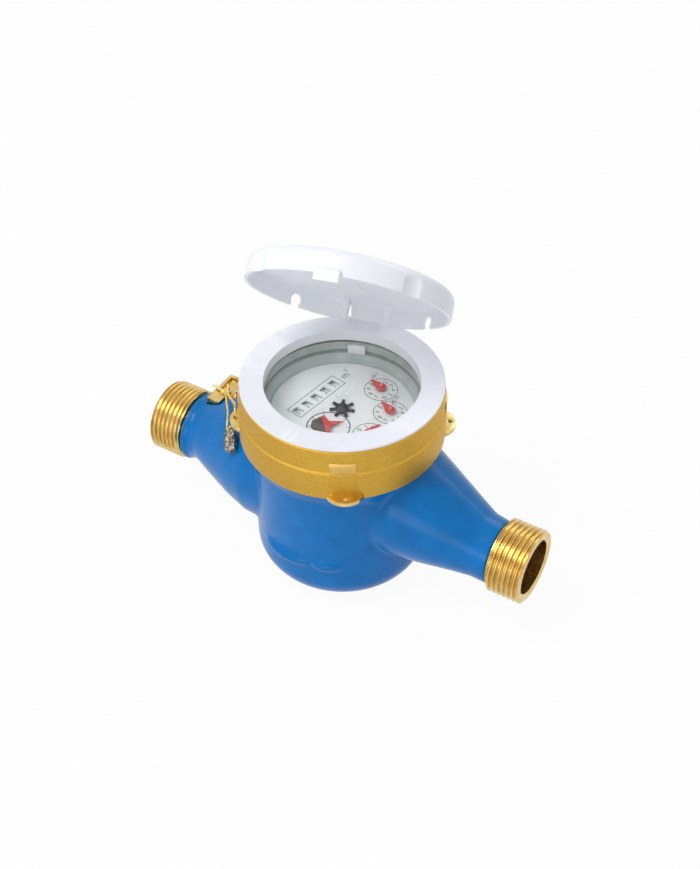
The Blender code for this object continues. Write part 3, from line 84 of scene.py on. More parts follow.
def growRings(name, rings, sides, along="Z", ends="cap"):
    # a skin over circles, pulled out of the first one: each ring is (centre, radius)
    centre, radius = rings[0]
    deselect()
    turn = (0, math.pi / 2, 0) if along == "X" else (0, 0, 0)
    bpy.ops.mesh.primitive_circle_add(vertices=sides, radius=radius * mm, rotation=turn,
                                      location=[c * mm for c in centre])
    piece = bpy.context.object
    piece.name = name
    settle(piece)
    editAll(piece)
    if ends == "joined":
        rings = list(rings) + [rings[0]]
    for nextCentre, nextRadius in rings[1:]:
        step = [(b - a) * mm for a, b in zip(centre, nextCentre)]
        bpy.ops.mesh.extrude_region_move(TRANSFORM_OT_translate={"value": step})
        grow = nextRadius / radius
        bpy.ops.transform.resize(value=(grow, grow, grow), center_override=[c * mm for c in nextCentre])
        centre, radius = nextCentre, nextRadius
    bpy.ops.object.mode_set(mode="OBJECT")
    if ends == "cap":
        closeHoles(piece)
    tidyMesh(piece)
    return piece


def turned(name, profile, sides=128, ends="cap"):
    # a lathe piece about Z from (radius, height) points
    return growRings(name, [((0, 0, z), r) for r, z in profile], sides, "Z", ends)


def roundCorner(radius, middleR, middleZ, start, end, steps):
    points = []
    for k in range(steps + 1):
        a = math.radians(start + (end - start) * k / steps)
        points.append((middleR + radius * math.cos(a), middleZ + radius * math.sin(a)))
    return points


def block(name, size, centre, turn=(0, 0, 0)):
    deselect()
    bpy.ops.mesh.primitive_cube_add(size=1, location=[c * mm for c in centre], rotation=turn,
                                    scale=[s * mm for s in size])
    piece = bpy.context.object
    piece.name = name
    settle(piece)
    return piece


def peg(name, radius, length, centre, turn=(0, 0, 0), sides=48):
    deselect()
    bpy.ops.mesh.primitive_cylinder_add(vertices=sides, radius=radius * mm, depth=length * mm,
                                        location=[c * mm for c in centre], rotation=turn)
    piece = bpy.context.object
    piece.name = name
    settle(piece)
    return piece


def applyAll(piece):
    pick(piece)
    for step in list(piece.modifiers):
        bpy.ops.object.modifier_apply(modifier=step.name)


def combine(piece, other, how):
    step = piece.modifiers.new("combine", "BOOLEAN")
    step.operation = how
    step.object = other
    step.solver = "EXACT"
    applyAll(piece)
    bpy.data.objects.remove(other, do_unlink=True)


def soften(piece, width, segments=3, angle=40):
    # breaks every hard edge by a real radius
    step = piece.modifiers.new("edges", "BEVEL")
    step.width = width * mm
    step.segments = segments
    step.limit_method = "ANGLE"
    step.angle_limit = math.radians(angle)
    step.harden_normals = False
    applyAll(piece)


def smoothShade(piece, angle=35):
    pick(piece)
    bpy.ops.object.shade_smooth_by_angle(angle=math.radians(angle))


def joinUp(name, pieces):
    deselect()
    for piece in pieces:
        piece.select_set(True)
    bpy.context.view_layer.objects.active = pieces[0]
    bpy.ops.object.join()
    pieces[0].name = name
    return pieces[0]


def dress(piece, material, body, slotName, *nodes):
    piece.data.materials.clear()
    piece.data.materials.append(material)
    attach(piece, body)
    if nodes:
        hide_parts(*nodes)
    return piece


def polar(radius, angle, z=0.0):
    a = math.radians(angle)
    return (radius * math.cos(a), radius * math.sin(a), z)


def onDial(e1, e2, z=0.0):
    # e1 runs along the row of figures, e2 towards their tops
    a = math.radians(dialPlate["reading"])
    return (e1 * math.cos(a) - e2 * math.sin(a), e1 * math.sin(a) + e2 * math.cos(a), z)


# Materials

def linear(hexColour):
    parts = [int(hexColour[i:i + 2], 16) / 255 for i in (1, 3, 5)]
    return tuple(p / 12.92 if p <= 0.04045 else ((p + 0.055) / 1.055) ** 2.4 for p in parts) + (1.0,)


def addNode(tree, kind, values=None, **links):
    node = tree.nodes.new(kind)
    for key, value in (values or {}).items():
        if key in node.inputs:
            node.inputs[key].default_value = value
        else:
            setattr(node, key, value)
    for key, source in links.items():
        tree.links.new(source, node.inputs[key.replace("_", " ")])
    return node


def newMaterial(name):
    material = bpy.data.materials.new(name)
    material.use_nodes = True
    tree = material.node_tree
    tree.nodes.clear()
    shader = addNode(tree, "ShaderNodeBsdfPrincipled")
    addNode(tree, "ShaderNodeOutputMaterial", Surface=shader.outputs["BSDF"])
    place = addNode(tree, "ShaderNodeTexCoord").outputs["Object"]
    return material, tree, shader, place


def mottle(tree, place, dark, light, grainMm, low=0.3, high=0.7, detail=3.0):
    # two close tones that wander over the surface, at a real grain size
    noise = addNode(tree, "ShaderNodeTexNoise", {"Scale": 1 / (grainMm * mm), "Detail": detail}, Vector=place)
    ramp = addNode(tree, "ShaderNodeValToRGB", Fac=noise.outputs["Fac"])
    ramp.color_ramp.elements[0].position = low
    ramp.color_ramp.elements[0].color = linear(dark)
    ramp.color_ramp.elements[1].position = high
    ramp.color_ramp.elements[1].color = linear(light)
    return ramp.outputs["Color"]


def roughBand(tree, place, low, high, grainMm):
    noise = addNode(tree, "ShaderNodeTexNoise", {"Scale": 1 / (grainMm * mm), "Detail": 3.0}, Vector=place)
    band = addNode(tree, "ShaderNodeMapRange", {"To Min": low, "To Max": high}, Value=noise.outputs["Fac"])
    return band.outputs["Result"]


def grainBump(tree, place, grainMm, heightMm, detail=2.0, normal=None):
    noise = addNode(tree, "ShaderNodeTexNoise", {"Scale": 1 / (grainMm * mm), "Detail": detail}, Vector=place)
    bump = addNode(tree, "ShaderNodeBump", {"Distance": heightMm * mm, "Strength": 1.0},
                   Height=noise.outputs["Fac"])
    if normal:
        tree.links.new(normal, bump.inputs["Normal"])
    return bump.outputs["Normal"]


def plainFinish(name, tones, rough, bump=None, metallic=0.0, specular=0.5):
    # a mottled tone, a band of roughness and, where it shows, a fine relief
    material, tree, shader, place = newMaterial(name)
    tree.links.new(mottle(tree, place, *tones), shader.inputs["Base Color"])
    tree.links.new(roughBand(tree, place, *rough), shader.inputs["Roughness"])
    if bump:
        tree.links.new(grainBump(tree, place, *bump), shader.inputs["Normal"])
    shader.inputs["Metallic"].default_value = metallic
    shader.inputs["Specular IOR Level"].default_value = specular
    return material


def epoxyBlue():
    # epoxy powder coat on a brass casting: glossy, with a soft orange peel and the casting's slow waves
    material, tree, shader, place = newMaterial("epoxyBlue")
    tree.links.new(mottle(tree, place, "#006ab0", "#0074bf", 9.0), shader.inputs["Base Color"])
    tree.links.new(roughBand(tree, place, 0.2, 0.3, 4.0), shader.inputs["Roughness"])
    peel = grainBump(tree, place, 1.6, 0.012)
    waves = grainBump(tree, place, 12.0, 0.10, 1.0, peel)
    tree.links.new(waves, shader.inputs["Normal"])
    shader.inputs["Specular IOR Level"].default_value = 0.17
    shader.inputs["Coat Weight"].default_value = 0.07
    shader.inputs["Coat Roughness"].default_value = 0.12
    return material


def machinedBrass():
    # brass cut on a lathe: bright, with faint bands of tool marks
    material, tree, shader, place = newMaterial("machinedBrass")
    tree.links.new(mottle(tree, place, "#cfad66", "#e5ca8a", 5.0), shader.inputs["Base Color"])
    tree.links.new(roughBand(tree, place, 0.16, 0.3, 2.0), shader.inputs["Roughness"])
    marks = addNode(tree, "ShaderNodeTexWave", {"Scale": 1 / (1.6 * mm), "Distortion": 1.5, "Detail": 2.0,
                                                "bands_direction": "X"}, Vector=place)
    bump = addNode(tree, "ShaderNodeBump", {"Distance": 0.01 * mm, "Strength": 0.25}, Height=marks.outputs["Fac"])
    tree.links.new(bump.outputs["Normal"], shader.inputs["Normal"])
    shader.inputs["Metallic"].default_value = 1.0
    return material


def clearCover():
    # clear moulded cover, polished
    material, tree, shader, place = newMaterial("clearCover")
    shader.inputs["Base Color"].default_value = linear("#fafdfc")
    shader.inputs["Transmission Weight"].default_value = 1.0
    shader.inputs["IOR"].default_value = 1.49
    shader.inputs["Alpha"].default_value = 0.07
    tree.links.new(roughBand(tree, place, 0.0, 0.02, 20.0), shader.inputs["Roughness"])
    return material


def printInk():
    # screen-printed ink, dark grey green
    material, tree, shader, place = newMaterial("printInk")
    tree.links.new(mottle(tree, place, "#2c4440", "#3b5650", 2.0), shader.inputs["Base Color"])
    shader.inputs["Roughness"].default_value = 0.55
    return material


blue = epoxyBlue()
# brass casting, shot-blasted: satin, with a fine sparkle of grains
castBrass = plainFinish("blastedBrass", ("#bd9438", "#d8b04e", 0.5, 0.3, 0.72, 5.0), (0.42, 0.62, 0.9),
                        (0.45, 0.05, 3.0), 1.0)
# blasted brass made paler for the tabs' upper parts: painted highlight standing in for the light falling on their
# top faces
litTabTops = plainFinish("litTabBrass", ("#d0a957", "#e0bf76", 0.8, 0.3, 0.72, 4.0), (0.38, 0.52, 0.9),
                     (0.5, 0.02, 3.0), 1.0)
cutBrass = machinedBrass()
# ABS, injection moulded and bright white: soft gloss, a faint cool cast in the shade
white = plainFinish("mouldedWhite", ("#eff1f7", "#f6f7fb", 14.0), (0.3, 0.4, 6.0), (0.8, 0.004))
clear = clearCover()
# acetal can, moulded in a grey green, satin
grey = plainFinish("canGrey", ("#b0bbb5", "#c6cec9", 7.0), (0.25, 0.4, 4.0), (1.2, 0.01))
# matt printed plate, just off white
dialWhite = plainFinish("dialPaint", ("#eef2f0", "#f6f9f7", 8.0), (0.45, 0.6, 2.0))
ink = printInk()
# acetal, moulded in signal red
red = plainFinish("pointerRed", ("#cf2f2c", "#dc3d37", 3.0), (0.3, 0.42, 1.5))
# acetal, moulded in black, dull
black = plainFinish("mouldedBlack", ("#0c0d0d", "#161818", 3.0), (0.45, 0.6, 2.0), specular=0.25)
# acetal in its natural milky white
gearWhite = plainFinish("gearNatural", ("#e2dfd2", "#ece9dd", 3.0), (0.35, 0.5, 2.0))
# stainless wire and pin, drawn and bright
steel = plainFinish("drawnSteel", ("#a9a6a0", "#c4c1bb", 3.0), (0.2, 0.35, 1.0), metallic=1.0)
# ferrite magnet, sintered, dull charcoal
ferrite = plainFinish("sinteredFerrite", ("#2a2a2c", "#3a3a3c", 0.8), (0.6, 0.8, 0.8), (0.3, 0.02))
# moulded nitrile rubber, matt black
rubber = plainFinish("softRubber", ("#161616", "#222222", 2.0), (0.65, 0.85, 1.0))
# lead alloy, pressed in pliers: dull grey with bright bruises
lead = plainFinish("crimpedLead", ("#564f45", "#aba494", 1.2, 0.4, 0.66, 5.0), (0.25, 0.6, 0.8),
                   (0.7, 0.12, 4.0), 0.85)
# the large pointer's tail, coloured a dark brown all over
brown = plainFinish("darkTailBrown", ("#43362e", "#54453a", 3.0), (0.3, 0.45, 2.0))
# annealed brass wire, pale yellow and bright
wireBrass = plainFinish("yellowWire", ("#d3b552", "#ecd98a", 1.5), (0.2, 0.32, 1.0), metallic=1.0)
# grey silicone gasket, matt
silicone = plainFinish("paleSilicone", ("#8d9288", "#a0a59b", 3.0), (0.5, 0.65, 2.0))

# what shows of the CAD nodes, and what hides inside, takes a finish of its own
nodeFinishes = {
    "hinge_pin": steel, "glass_gasket": rubber, "gear_plate": grey, "centre_arbor": gearWhite,
    "follower_magnet": ferrite, "worm_arbor": gearWhite, "drum_shaft": steel, "transfer_shaft": steel,
    "pressure_plate": cutBrass, "plate_seal": rubber, "impeller": gearWhite, "drive_magnet": ferrite,
    "pivot_pin": steel, "chamber_base": grey, "chamber_cover": grey, "strainer": gearWhite,
}
for number in range(1, 5):
    nodeFinishes["idler_wheel_%d" % number] = gearWhite
    nodeFinishes["pointer_arbor_%d" % number] = gearWhite
    nodeFinishes["transfer_pinion_%d" % number] = gearWhite
for nodeName, finish in nodeFinishes.items():
    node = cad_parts[nodeName]
    node.data.materials.clear()
    node.data.materials.append(finish)
print("materials ready")

# Camera

view = {"target": (3.5, 0.5, 68.5), "azimuth": 31.4, "elevation": 42.3, "distance": 650.0, "lens": 62.47,
        "roll": -0.1}


def makeCamera():
    az, el = math.radians(view["azimuth"]), math.radians(view["elevation"])
    back = Vector((math.cos(el) * math.sin(az), -math.cos(el) * math.cos(az), math.sin(el)))
    data = bpy.data.cameras.new("photoCamera")
    data.lens = view["lens"]
    data.sensor_width = 36
    camera = bpy.data.objects.new("photoCamera", data)
    bpy.context.scene.collection.objects.link(camera)
    turn = back.to_track_quat("Z", "Y").to_matrix().to_4x4()
    roll = Matrix.Rotation(math.radians(view["roll"]), 4, "Z")
    where = Vector(view["target"]) * mm + back * view["distance"] * mm
    camera.matrix_world = Matrix.Translation(where) @ turn @ roll
    bpy.context.scene.camera = camera


makeCamera()

# Body: bowl, two necks, the screw's boss and the cast bead, blended as one casting

axisZ = 36.0  # the pipes' axis
casting = {
    "bowlR": 38.5, "footCorner": 14.0, "slopeZ": 61.8, "shoulderR": 40.4, "shoulderZ": 68.3, "topZ": 70.4,
    "rimR": 39.3, "rimZ": 83.5,
    # the necks' rings: distance from the middle, height, radius
    "inletNeck": [(20, 40.0, 30.5), (37, 38.8, 28.8), (47.7, 37.8, 25.2), (63, 36.9, 18.7),
                  (71.5, 36.9, 15.0), (75.4, 36.3, 14.8), (77.0, 36.0, 16.0), (78.7, 36.0, 16.0)],
    "outletNeck": [(20, 48.0, 26.0), (37, 46.2, 25.5), (47.7, 43.1, 22.2), (63, 39.1, 17.0), (70.6, 37.0, 14.6),
                   (78.3, 36.0, 14.2)],
    "boss": (-70.4, 10.0, 7.2, 49.6),
    # each bead: from and to angle, height, thickness
    "beads": ((-119.0, -81.0, 24.0, 2.8), (-79.5, -59.0, 24.6, 2.7)),
    "voxel": 0.75, "smooth": 8, "boreGap": 0.55, "washerRoomR": 5.9, "barRoom": (7.6, 20.6, 10.0),
    "cavity": [(36.1, 95.0), (36.1, 57.3), (33.0, 57.3), (33.0, 13.0), (25.0, 5.0)],
}
# the bends of the waterway: distance from the middle, height, radius
bends = {-1: [(78.0, 36.0, 12.3), (59.6, 35.0, 11.0), (44.3, 31.0, 8.2), (31.0, 27.0, 6.2)],
         1: [(78.0, 36.0, 12.3), (59.6, 39.5, 11.3), (44.3, 45.0, 9.7), (31.0, 47.5, 8.0)]}


def castBead(start, end, height, thick):
    # a tapered roll laid round the bowl, thin at both ends: a grid rolled up
    deselect()
    count, sides = 48, 12
    bpy.ops.mesh.primitive_grid_add(x_subdivisions=sides, y_subdivisions=count, size=1)
    bead = bpy.context.object
    for v in bead.data.vertices:
        share, about = v.co.y + 0.5, (v.co.x + 0.5) * 2 * math.pi
        angle = math.radians(start + (end - start) * share)
        r = 0.15 + thick * math.sqrt(max(0.0, math.sin(math.pi * share)))
        out = casting["bowlR"] - 0.3 + r * math.cos(about)
        v.co = Vector((out * math.cos(angle), out * math.sin(angle), height + r * math.sin(about))) * mm
    tidyMesh(bead)
    closeHoles(bead)
    tidyMesh(bead)
    return bead


def makeBody():
    c = casting
    corner = roundCorner(c["footCorner"], c["bowlR"] - c["footCorner"], c["footCorner"], 0, -90, 10)
    bowl = turned("bodyCasting", [(c["rimR"], c["rimZ"]), (c["rimR"], c["topZ"]), (c["shoulderR"], c["topZ"]),
                                  (c["shoulderR"], c["shoulderZ"]), (c["bowlR"], c["slopeZ"])] + corner)
    for side, stations in ((-1, c["inletNeck"]), (1, c["outletNeck"])):
        neck = growRings("neck", [((side * x, 0, z), r) for x, z, r in stations], 96, "X")
        combine(bowl, neck, "UNION")
    x, y, r, top = c["boss"]
    combine(bowl, peg("boss", r, top - axisZ, (x, y, (top + axisZ) / 2)), "UNION")
    for bead in c["beads"]:
        combine(bowl, castBead(*bead), "UNION")
    remesh = bowl.modifiers.new("casting", "REMESH")
    remesh.mode = "VOXEL"
    remesh.voxel_size = c["voxel"] * mm
    even = bowl.modifiers.new("fillets", "SMOOTH")
    even.factor = 0.5
    even.iterations = c["smooth"]
    applyAll(bowl)
    combine(bowl, turned("cavity", c["cavity"]), "DIFFERENCE")
    for side in (-1, 1):
        rings = [((side * bx, 0, bz), r + c["boreGap"]) for bx, bz, r in [(85.0, axisZ, 12.3)] + bends[side]]
        combine(bowl, growRings("boreRoom", rings, 64, "X"), "DIFFERENCE")
    combine(bowl, peg("washerRoom", c["washerRoomR"], 10.0, (x, y, top + 5.0)), "DIFFERENCE")
    combine(bowl, block("barRoom", c["barRoom"], (x + 0.5, y + 0.4, top + 6.1)), "DIFFERENCE")
    smoothShade(bowl, 50)
    return dress(bowl, blue, "meter_case", "blue_paint", "body")


makeBody()
print("body cast")

# Threaded pipe ends: G 1 thread, 2.309 mm pitch

blank = 16.0  # radius of the thread's rings before the thread is pressed into them
pipeEnd = {"from": 78.4, "collarR": 14.3, "crestR": 16.6, "rootR": 15.15, "threadFrom": 79.0, "end": 95.0,
           "pitch": 2.309, "boreR": 12.3, "liner": 0.5, "sides": 144}


def makePipeEnd(side, name):
    p = pipeEnd
    steps = 240
    length = p["end"] - p["threadFrom"]
    outer = [((side * (p["threadFrom"] + length * k / steps), 0, axisZ), blank) for k in range(steps + 1)]
    inside = [((side * bx, 0, bz), r) for bx, bz, r in bends[side]]
    outside = [((side * bx, 0, bz), r + p["liner"]) for bx, bz, r in reversed(bends[side])]
    collar = p["from"] + 0.2
    start = inside + outside + [((side * collar, 0, axisZ), p["boreR"] + p["liner"]),
                                ((side * collar, 0, axisZ), p["collarR"]),
                                ((side * (p["threadFrom"] - 0.05), 0, axisZ), p["collarR"])]
    finish = [((side * p["end"], 0, axisZ), 13.0), ((side * (p["end"] - 0.6), 0, axisZ), p["boreR"])]
    piece = growRings(name, start + outer + finish, p["sides"], "X", "joined")
    low, high = p["threadFrom"], p["end"]
    for v in piece.data.vertices:
        x, y, z = v.co.x / mm, v.co.y / mm, v.co.z / mm - axisZ
        r = math.hypot(y, z)
        if abs(r - blank) > 0.01 or abs(x) < low - 0.01:
            continue
        turn = math.atan2(z, y) / (2 * math.pi)
        phase = (abs(x) / p["pitch"] + turn) % 1.0
        wave = min(1.0, max(0.0, 1.1 - 2.3 * abs(phase - 0.5)))
        wave = wave * wave * (3 - 2 * wave)
        r = p["rootR"] + (p["crestR"] - p["rootR"]) * wave
        near, far = abs(x) - low, high - abs(x)
        r = min(r, p["collarR"] + near * 4.0, p["crestR"] - 0.8 + far * 1.2)
        now = math.hypot(y, z)
        v.co.y, v.co.z = y * r / now * mm, (axisZ + z * r / now) * mm
    tidyMesh(piece, 0.002)
    smoothShade(piece, 45)
    return dress(piece, cutBrass, "meter_case", "brass")


makePipeEnd(-1, "inletEnd")
makePipeEnd(1, "outletEnd")
print("pipe ends cut")

# Locking ring: four tabs on its step, four drilled lugs at its foot

ring = {"lowR": 44.2, "highR": 43.5, "footZ": 70.8, "stepZ": 85.5, "topZ": 96.8, "innerR": 39.8, "lipR": 36.0,
        "lipZ": 86.2, "lugs": (-57.0, 33.0, 123.0, 206.0), "tabWidth": 10.8, "tabTurn": -1.3, "tabTop": 90.6,
        "padR": 44.3, "lugR": 8.5, "lugReach": 48.8, "lugHeight": (71.8, 73.6), "holeR": 0.95,
        "holeAt": 46.2, "edge": 0.6, "edgeTop": 0.7, "tabRoot": 42.0}


def makeRing():
    r = ring
    edge = r["edge"]
    piece = turned("lockingRing", [
        (r["lipR"], r["topZ"]), (r["highR"] - edge, r["topZ"]), (r["highR"], r["topZ"] - edge),
        (r["highR"], r["stepZ"]), (r["lowR"], r["stepZ"] - r["edgeTop"]), (r["lowR"], r["footZ"] + edge),
        (r["lowR"] - edge, r["footZ"]), (r["innerR"], r["footZ"]), (r["innerR"], r["lipZ"]),
        (r["lipR"], r["lipZ"])], 192, "joined")
    for name, low, high, proud in (("tabs", r["footZ"] + 0.3, r["stepZ"] + 0.4, 0.0),
                                   ("tabTops", r["stepZ"] + 0.4, r["tabTop"], 0.05)):
        out = r["padR"] + proud
        bevel = r["edgeTop"]
        tabs = turned(name, [(r["tabRoot"], high), (out - bevel, high), (out, high - bevel), (out, low),
                             (r["tabRoot"], low)], 192, "joined")
        bars = None
        for angle in r["lugs"]:
            at = angle + r["tabTurn"]
            bar = block("bar", (14.0, r["tabWidth"], 60.0), polar(44.0, at, 80.0), (0, 0, math.radians(at)))
            if bars:
                combine(bars, bar, "UNION")
            else:
                bars = bar
        combine(tabs, bars, "INTERSECT")
        if proud:
            soften(tabs, 0.3, 2, 35)
            smoothShade(tabs, 40)
            # the tabs' upper parts take the paler brass: painted highlight
            dress(tabs, litTabTops, "meter_case", "brass")
        else:
            combine(piece, tabs, "UNION")
    low, high = r["lugHeight"]
    for angle in r["lugs"]:
        middle = (low + high) / 2
        lug = peg("lug", r["lugR"], high - low, polar(r["lugReach"] - r["lugR"], angle, middle), sides=64)
        combine(lug, peg("lugRoom", 43.4, 10.0, (0, 0, 73.0), sides=96), "DIFFERENCE")
        combine(lug, peg("wireHole", r["holeR"], 12.0, polar(r["holeAt"], angle, 73.0), sides=20), "DIFFERENCE")
        soften(lug, 0.4, 3, 35)
        smoothShade(lug, 40)
        dress(lug, cutBrass, "meter_case", "brass")
    soften(piece, 0.22, 2, 35)
    smoothShade(piece, 40)
    return dress(piece, castBrass, "meter_case", "brass", "locking_ring")


makeRing()
print("locking ring made")

# Bezel: a flat white ring with the hinge's plate and barrel

hinge = {"angle": 105.6, "r": 42.2, "z": 107.3, "plateWidth": 15.2, "plateThick": 2.0, "barrelR": 1.5,
         "barrelWidth": 15.4, "pinR": 0.6, "open": 50.0}
bezel = {"innerR": 33.2, "outerR": 43.3, "z": 97.1, "topZ": 98.1, "skirtR": 35.5, "skirtZ": 93.0}


def toHinge(piece):
    piece.matrix_world = Matrix.Translation(Vector(polar(hinge["r"], hinge["angle"], hinge["z"])) * mm) @ \
        Matrix.Rotation(math.radians(hinge["angle"] - 90), 4, "Z")
    settle(piece)
    return piece


def toLid(piece):
    piece.matrix_world = Matrix.Translation(Vector(polar(hinge["r"], hinge["angle"], hinge["z"])) * mm) @ \
        Matrix.Rotation(math.radians(hinge["angle"] - 90), 4, "Z") @ \
        Matrix.Rotation(math.radians(-hinge["open"]), 4, "X")
    settle(piece)
    return piece


def makeBezel():
    b, h = bezel, hinge
    piece = turned("bezelRing", [
        (b["innerR"], b["topZ"]), (b["outerR"], b["topZ"]), (b["outerR"], b["z"]), (b["skirtR"], b["z"]),
        (b["skirtR"], b["skirtZ"]), (b["innerR"], b["skirtZ"])], 192, "joined")
    high = h["z"] - b["topZ"]
    plate = block("hingePlate", (h["plateWidth"], h["plateThick"], high + 1.0), (0, 0, -(high + 1.0) / 2))
    barrel = peg("barrel", h["barrelR"], h["barrelWidth"], (0, 0, 0), (0, math.pi / 2, 0), 32)
    combine(plate, barrel, "UNION")
    combine(plate, peg("pinBore", h["pinR"] + 0.3, 30.0, (0, 0, 0), (0, math.pi / 2, 0), 24), "DIFFERENCE")
    combine(piece, toHinge(plate), "UNION")
    soften(piece, 0.35, 3, 35)
    smoothShade(piece, 40)
    return dress(piece, white, "bezel", "white_plastic", "bezel_ring")


makeBezel()

# Lid: a shallow moulded cup, drawn shut about its hinge and then swung open

lid = {"r": 43.0, "centre": 41.8, "wall": 1.5, "rim": -9.1, "top": 1.8, "shoulder": 4.5, "dome": 0.9,
       "latchWidth": 10.0, "latchDrop": 3.2, "gripAngle": 46.0, "gripR": 9.0, "gripDepth": 1.2,
       "notchAngle": 44.0, "notchWidth": 4.6, "notchHeight": 5.6, "crownR": 2.8,
       "slotWidth": 15.8, "earWidth": 3.2,
       "ejectors": ((-24.0, -14.0), (24.0, -14.0), (0.0, 24.0))}


def atLidCentre(piece):
    piece.location = (0, -lid["centre"] * mm, 0)
    settle(piece)
    return piece


def makeLid():
    d = lid
    inner = d["r"] - d["wall"]
    outside = roundCorner(d["shoulder"], d["r"] - d["shoulder"], d["top"] - d["shoulder"], 84, 0, 8)
    inside = roundCorner(d["shoulder"] - d["wall"], d["r"] - d["shoulder"], d["top"] - d["shoulder"], 0, 84, 6)
    crown = [(0.4, d["top"] + d["dome"]), (12, d["top"] + d["dome"] * 0.94), (26, d["top"] + d["dome"] * 0.62)]
    under = [(r, z - d["wall"]) for r, z in reversed(crown)]
    profile = crown + outside + [(d["r"], d["rim"]), (inner, d["rim"])] + inside + under
    piece = atLidCentre(turned("lidShell", profile, 192, "cap"))
    clearR = hinge["barrelR"] + 0.3
    combine(piece, block("hingeSlot", (d["slotWidth"], 2 * clearR + 4.0, 30.0), (0, 2.0, clearR - 9.0)),
            "DIFFERENCE")
    for side in (-1, 1):
        x = side * (d["slotWidth"] / 2 + d["earWidth"] / 2)
        ear = peg("ear", clearR + 0.4, d["earWidth"] - 0.2, (x, 0, 0), (0, math.pi / 2, 0), 32)
        web = block("earWeb", (d["earWidth"] - 0.2, 9.0, d["top"] - d["wall"] / 2),
                    (x, -2.6, (d["top"] - d["wall"] / 2) / 2))
        rib = block("earRib", (d["earWidth"] - 0.2, 3.0, -0.4 - d["rim"]), (x, -1.5, d["rim"] / 2))
        combine(ear, web, "UNION")
        combine(ear, rib, "UNION")
        combine(piece, ear, "UNION")
        gx, gy, _ = polar(d["r"] - d["gripDepth"] + d["gripR"], -90 + side * d["gripAngle"])
        gripTop = d["top"] - 0.9
        grip = turned("grip", [(0.2, gripTop), (4.0, gripTop - 0.3), (7.0, gripTop - 1.3), (8.5, gripTop - 2.8),
                               (d["gripR"], gripTop - 4.6), (d["gripR"], d["rim"] - 1.0), (0.2, d["rim"] - 1.0)],
                      96, "cap")
        grip.location = (gx * mm, (gy - d["centre"]) * mm, 0)
        settle(grip)
        combine(piece, grip, "DIFFERENCE")
        notchTurn = (0, 0, math.radians(90 - side * d["notchAngle"]))
        nx, ny, _ = polar(d["r"], 90 - side * d["notchAngle"])
        straight = d["notchHeight"] - d["crownR"]
        notch = block("notch", (8.0, d["notchWidth"], straight + 1.0),
                      (nx, ny - d["centre"], d["rim"] - 1.0 + (straight + 1.0) / 2), notchTurn)
        crownPeg = peg("notchCrown", d["crownR"], 9.0, (nx, ny - d["centre"], d["rim"] + straight),
                       (0, math.pi / 2, notchTurn[2]), 32)
        combine(piece, notch, "DIFFERENCE")
        combine(piece, crownPeg, "DIFFERENCE")
    combine(piece, peg("pinBore", hinge["pinR"] + 0.05, 30.0, (0, 0, 0), (0, math.pi / 2, 0), 24), "DIFFERENCE")
    low = d["rim"] - d["latchDrop"]
    latch = turned("latch", [(42.4, d["rim"] + 1.2), (44.1, d["rim"] + 0.2), (44.1, low), (44.8, low),
                             (44.8, d["rim"] + 1.2), (42.6, d["rim"] + 2.4)], 192, "joined")
    combine(latch, block("latchPart", (d["latchWidth"], 12.0, 20.0), (0, -44.0, low)), "INTERSECT")
    combine(piece, atLidCentre(latch), "UNION")
    for x, y in d["ejectors"]:
        combine(piece, peg("ejector", 2.6, 0.6, (x, y - d["centre"], d["top"] - d["wall"] + 0.6)), "DIFFERENCE")
    soften(piece, 0.25, 2, 40)
    smoothShade(piece, 40)
    toLid(piece)
    return dress(piece, white, "lid_assembly", "white_plastic", "lid")


makeLid()
print("bezel and lid moulded")

# Register: can, dial plate, clear cover

dialPlate = {"reading": 81.5, "r": 31.0, "z": 81.5, "thick": 1.0, "row": -0.8, "pitch": 5.85, "rowE2": 14.0,
             "window": (3.4, 4.6),
             "posts": ((-15.5, 12.2, 17.0, 76.2), (13.9, 15.6, 19.0, 70.5), (22.7, 12.2, 15.8, 76.2)),
             # angle and width of the clip made white: painted highlight on a clear clip
             "highlightClipAt": (110.5, 7.6),
             "clips": ((36.0, 5.0), (-30.0, 5.0), (-100.0, 5.0), (-158.0, 7.0), (142.0, 8.0))}


def makeCan():
    piece = turned("registerCan", [
        (1.0, 65.7), (30.4, 65.7), (30.4, 80.2), (31.3, 80.2), (31.3, 83.1), (32.2, 83.5), (33.2, 85.7),
        (38.8, 85.7), (38.8, 83.9), (35.5, 83.9), (35.5, 64.2), (1.0, 64.2)], 160)
    turn = (0, 0, math.radians(dialPlate["reading"]))
    foot = 65.0
    for e1, low, high, top in dialPlate["posts"]:
        middle = onDial(e1, (low + high) / 2, (top + foot) / 2)
        combine(piece, block("shaftPost", (1.2, high - low, top - foot), middle, turn), "UNION")
    soften(piece, 0.12, 2, 35)
    smoothShade(piece, 40)
    return dress(piece, grey, "meter_case", "grey_plastic", "register_housing")


def makeClip(name, profile, places, material, slotName):
    # a stretch of a turned ring: a moulded catch on the cover's skirt
    shell = turned(name, profile, 160, "joined")
    bars = None
    for angle, wide in places:
        bar = block("clipPart", (12.0, wide, 30.0), polar(33.0, angle, 88.0), (0, 0, math.radians(angle)))
        if bars:
            combine(bars, bar, "UNION")
        else:
            bars = bar
    combine(shell, bars, "INTERSECT")
    soften(shell, 0.15, 2, 35)
    smoothShade(shell, 40)
    return dress(shell, material, "meter_case", slotName)


def makeClips():
    makeClip("coverClips", [(32.4, 90.6), (33.6, 90.6), (33.6, 84.6), (33.0, 84.0), (32.2, 84.4)],
             dialPlate["clips"], clear, "glass")
    # one clear clip made in white: painted highlight standing in for the light on that clip
    makeClip("paintedHighlightClip", [(32.4, 90.6), (33.6, 90.6), (33.6, 86.2), (32.4, 86.2)], (dialPlate["highlightClipAt"],), white,
             "white_plastic")


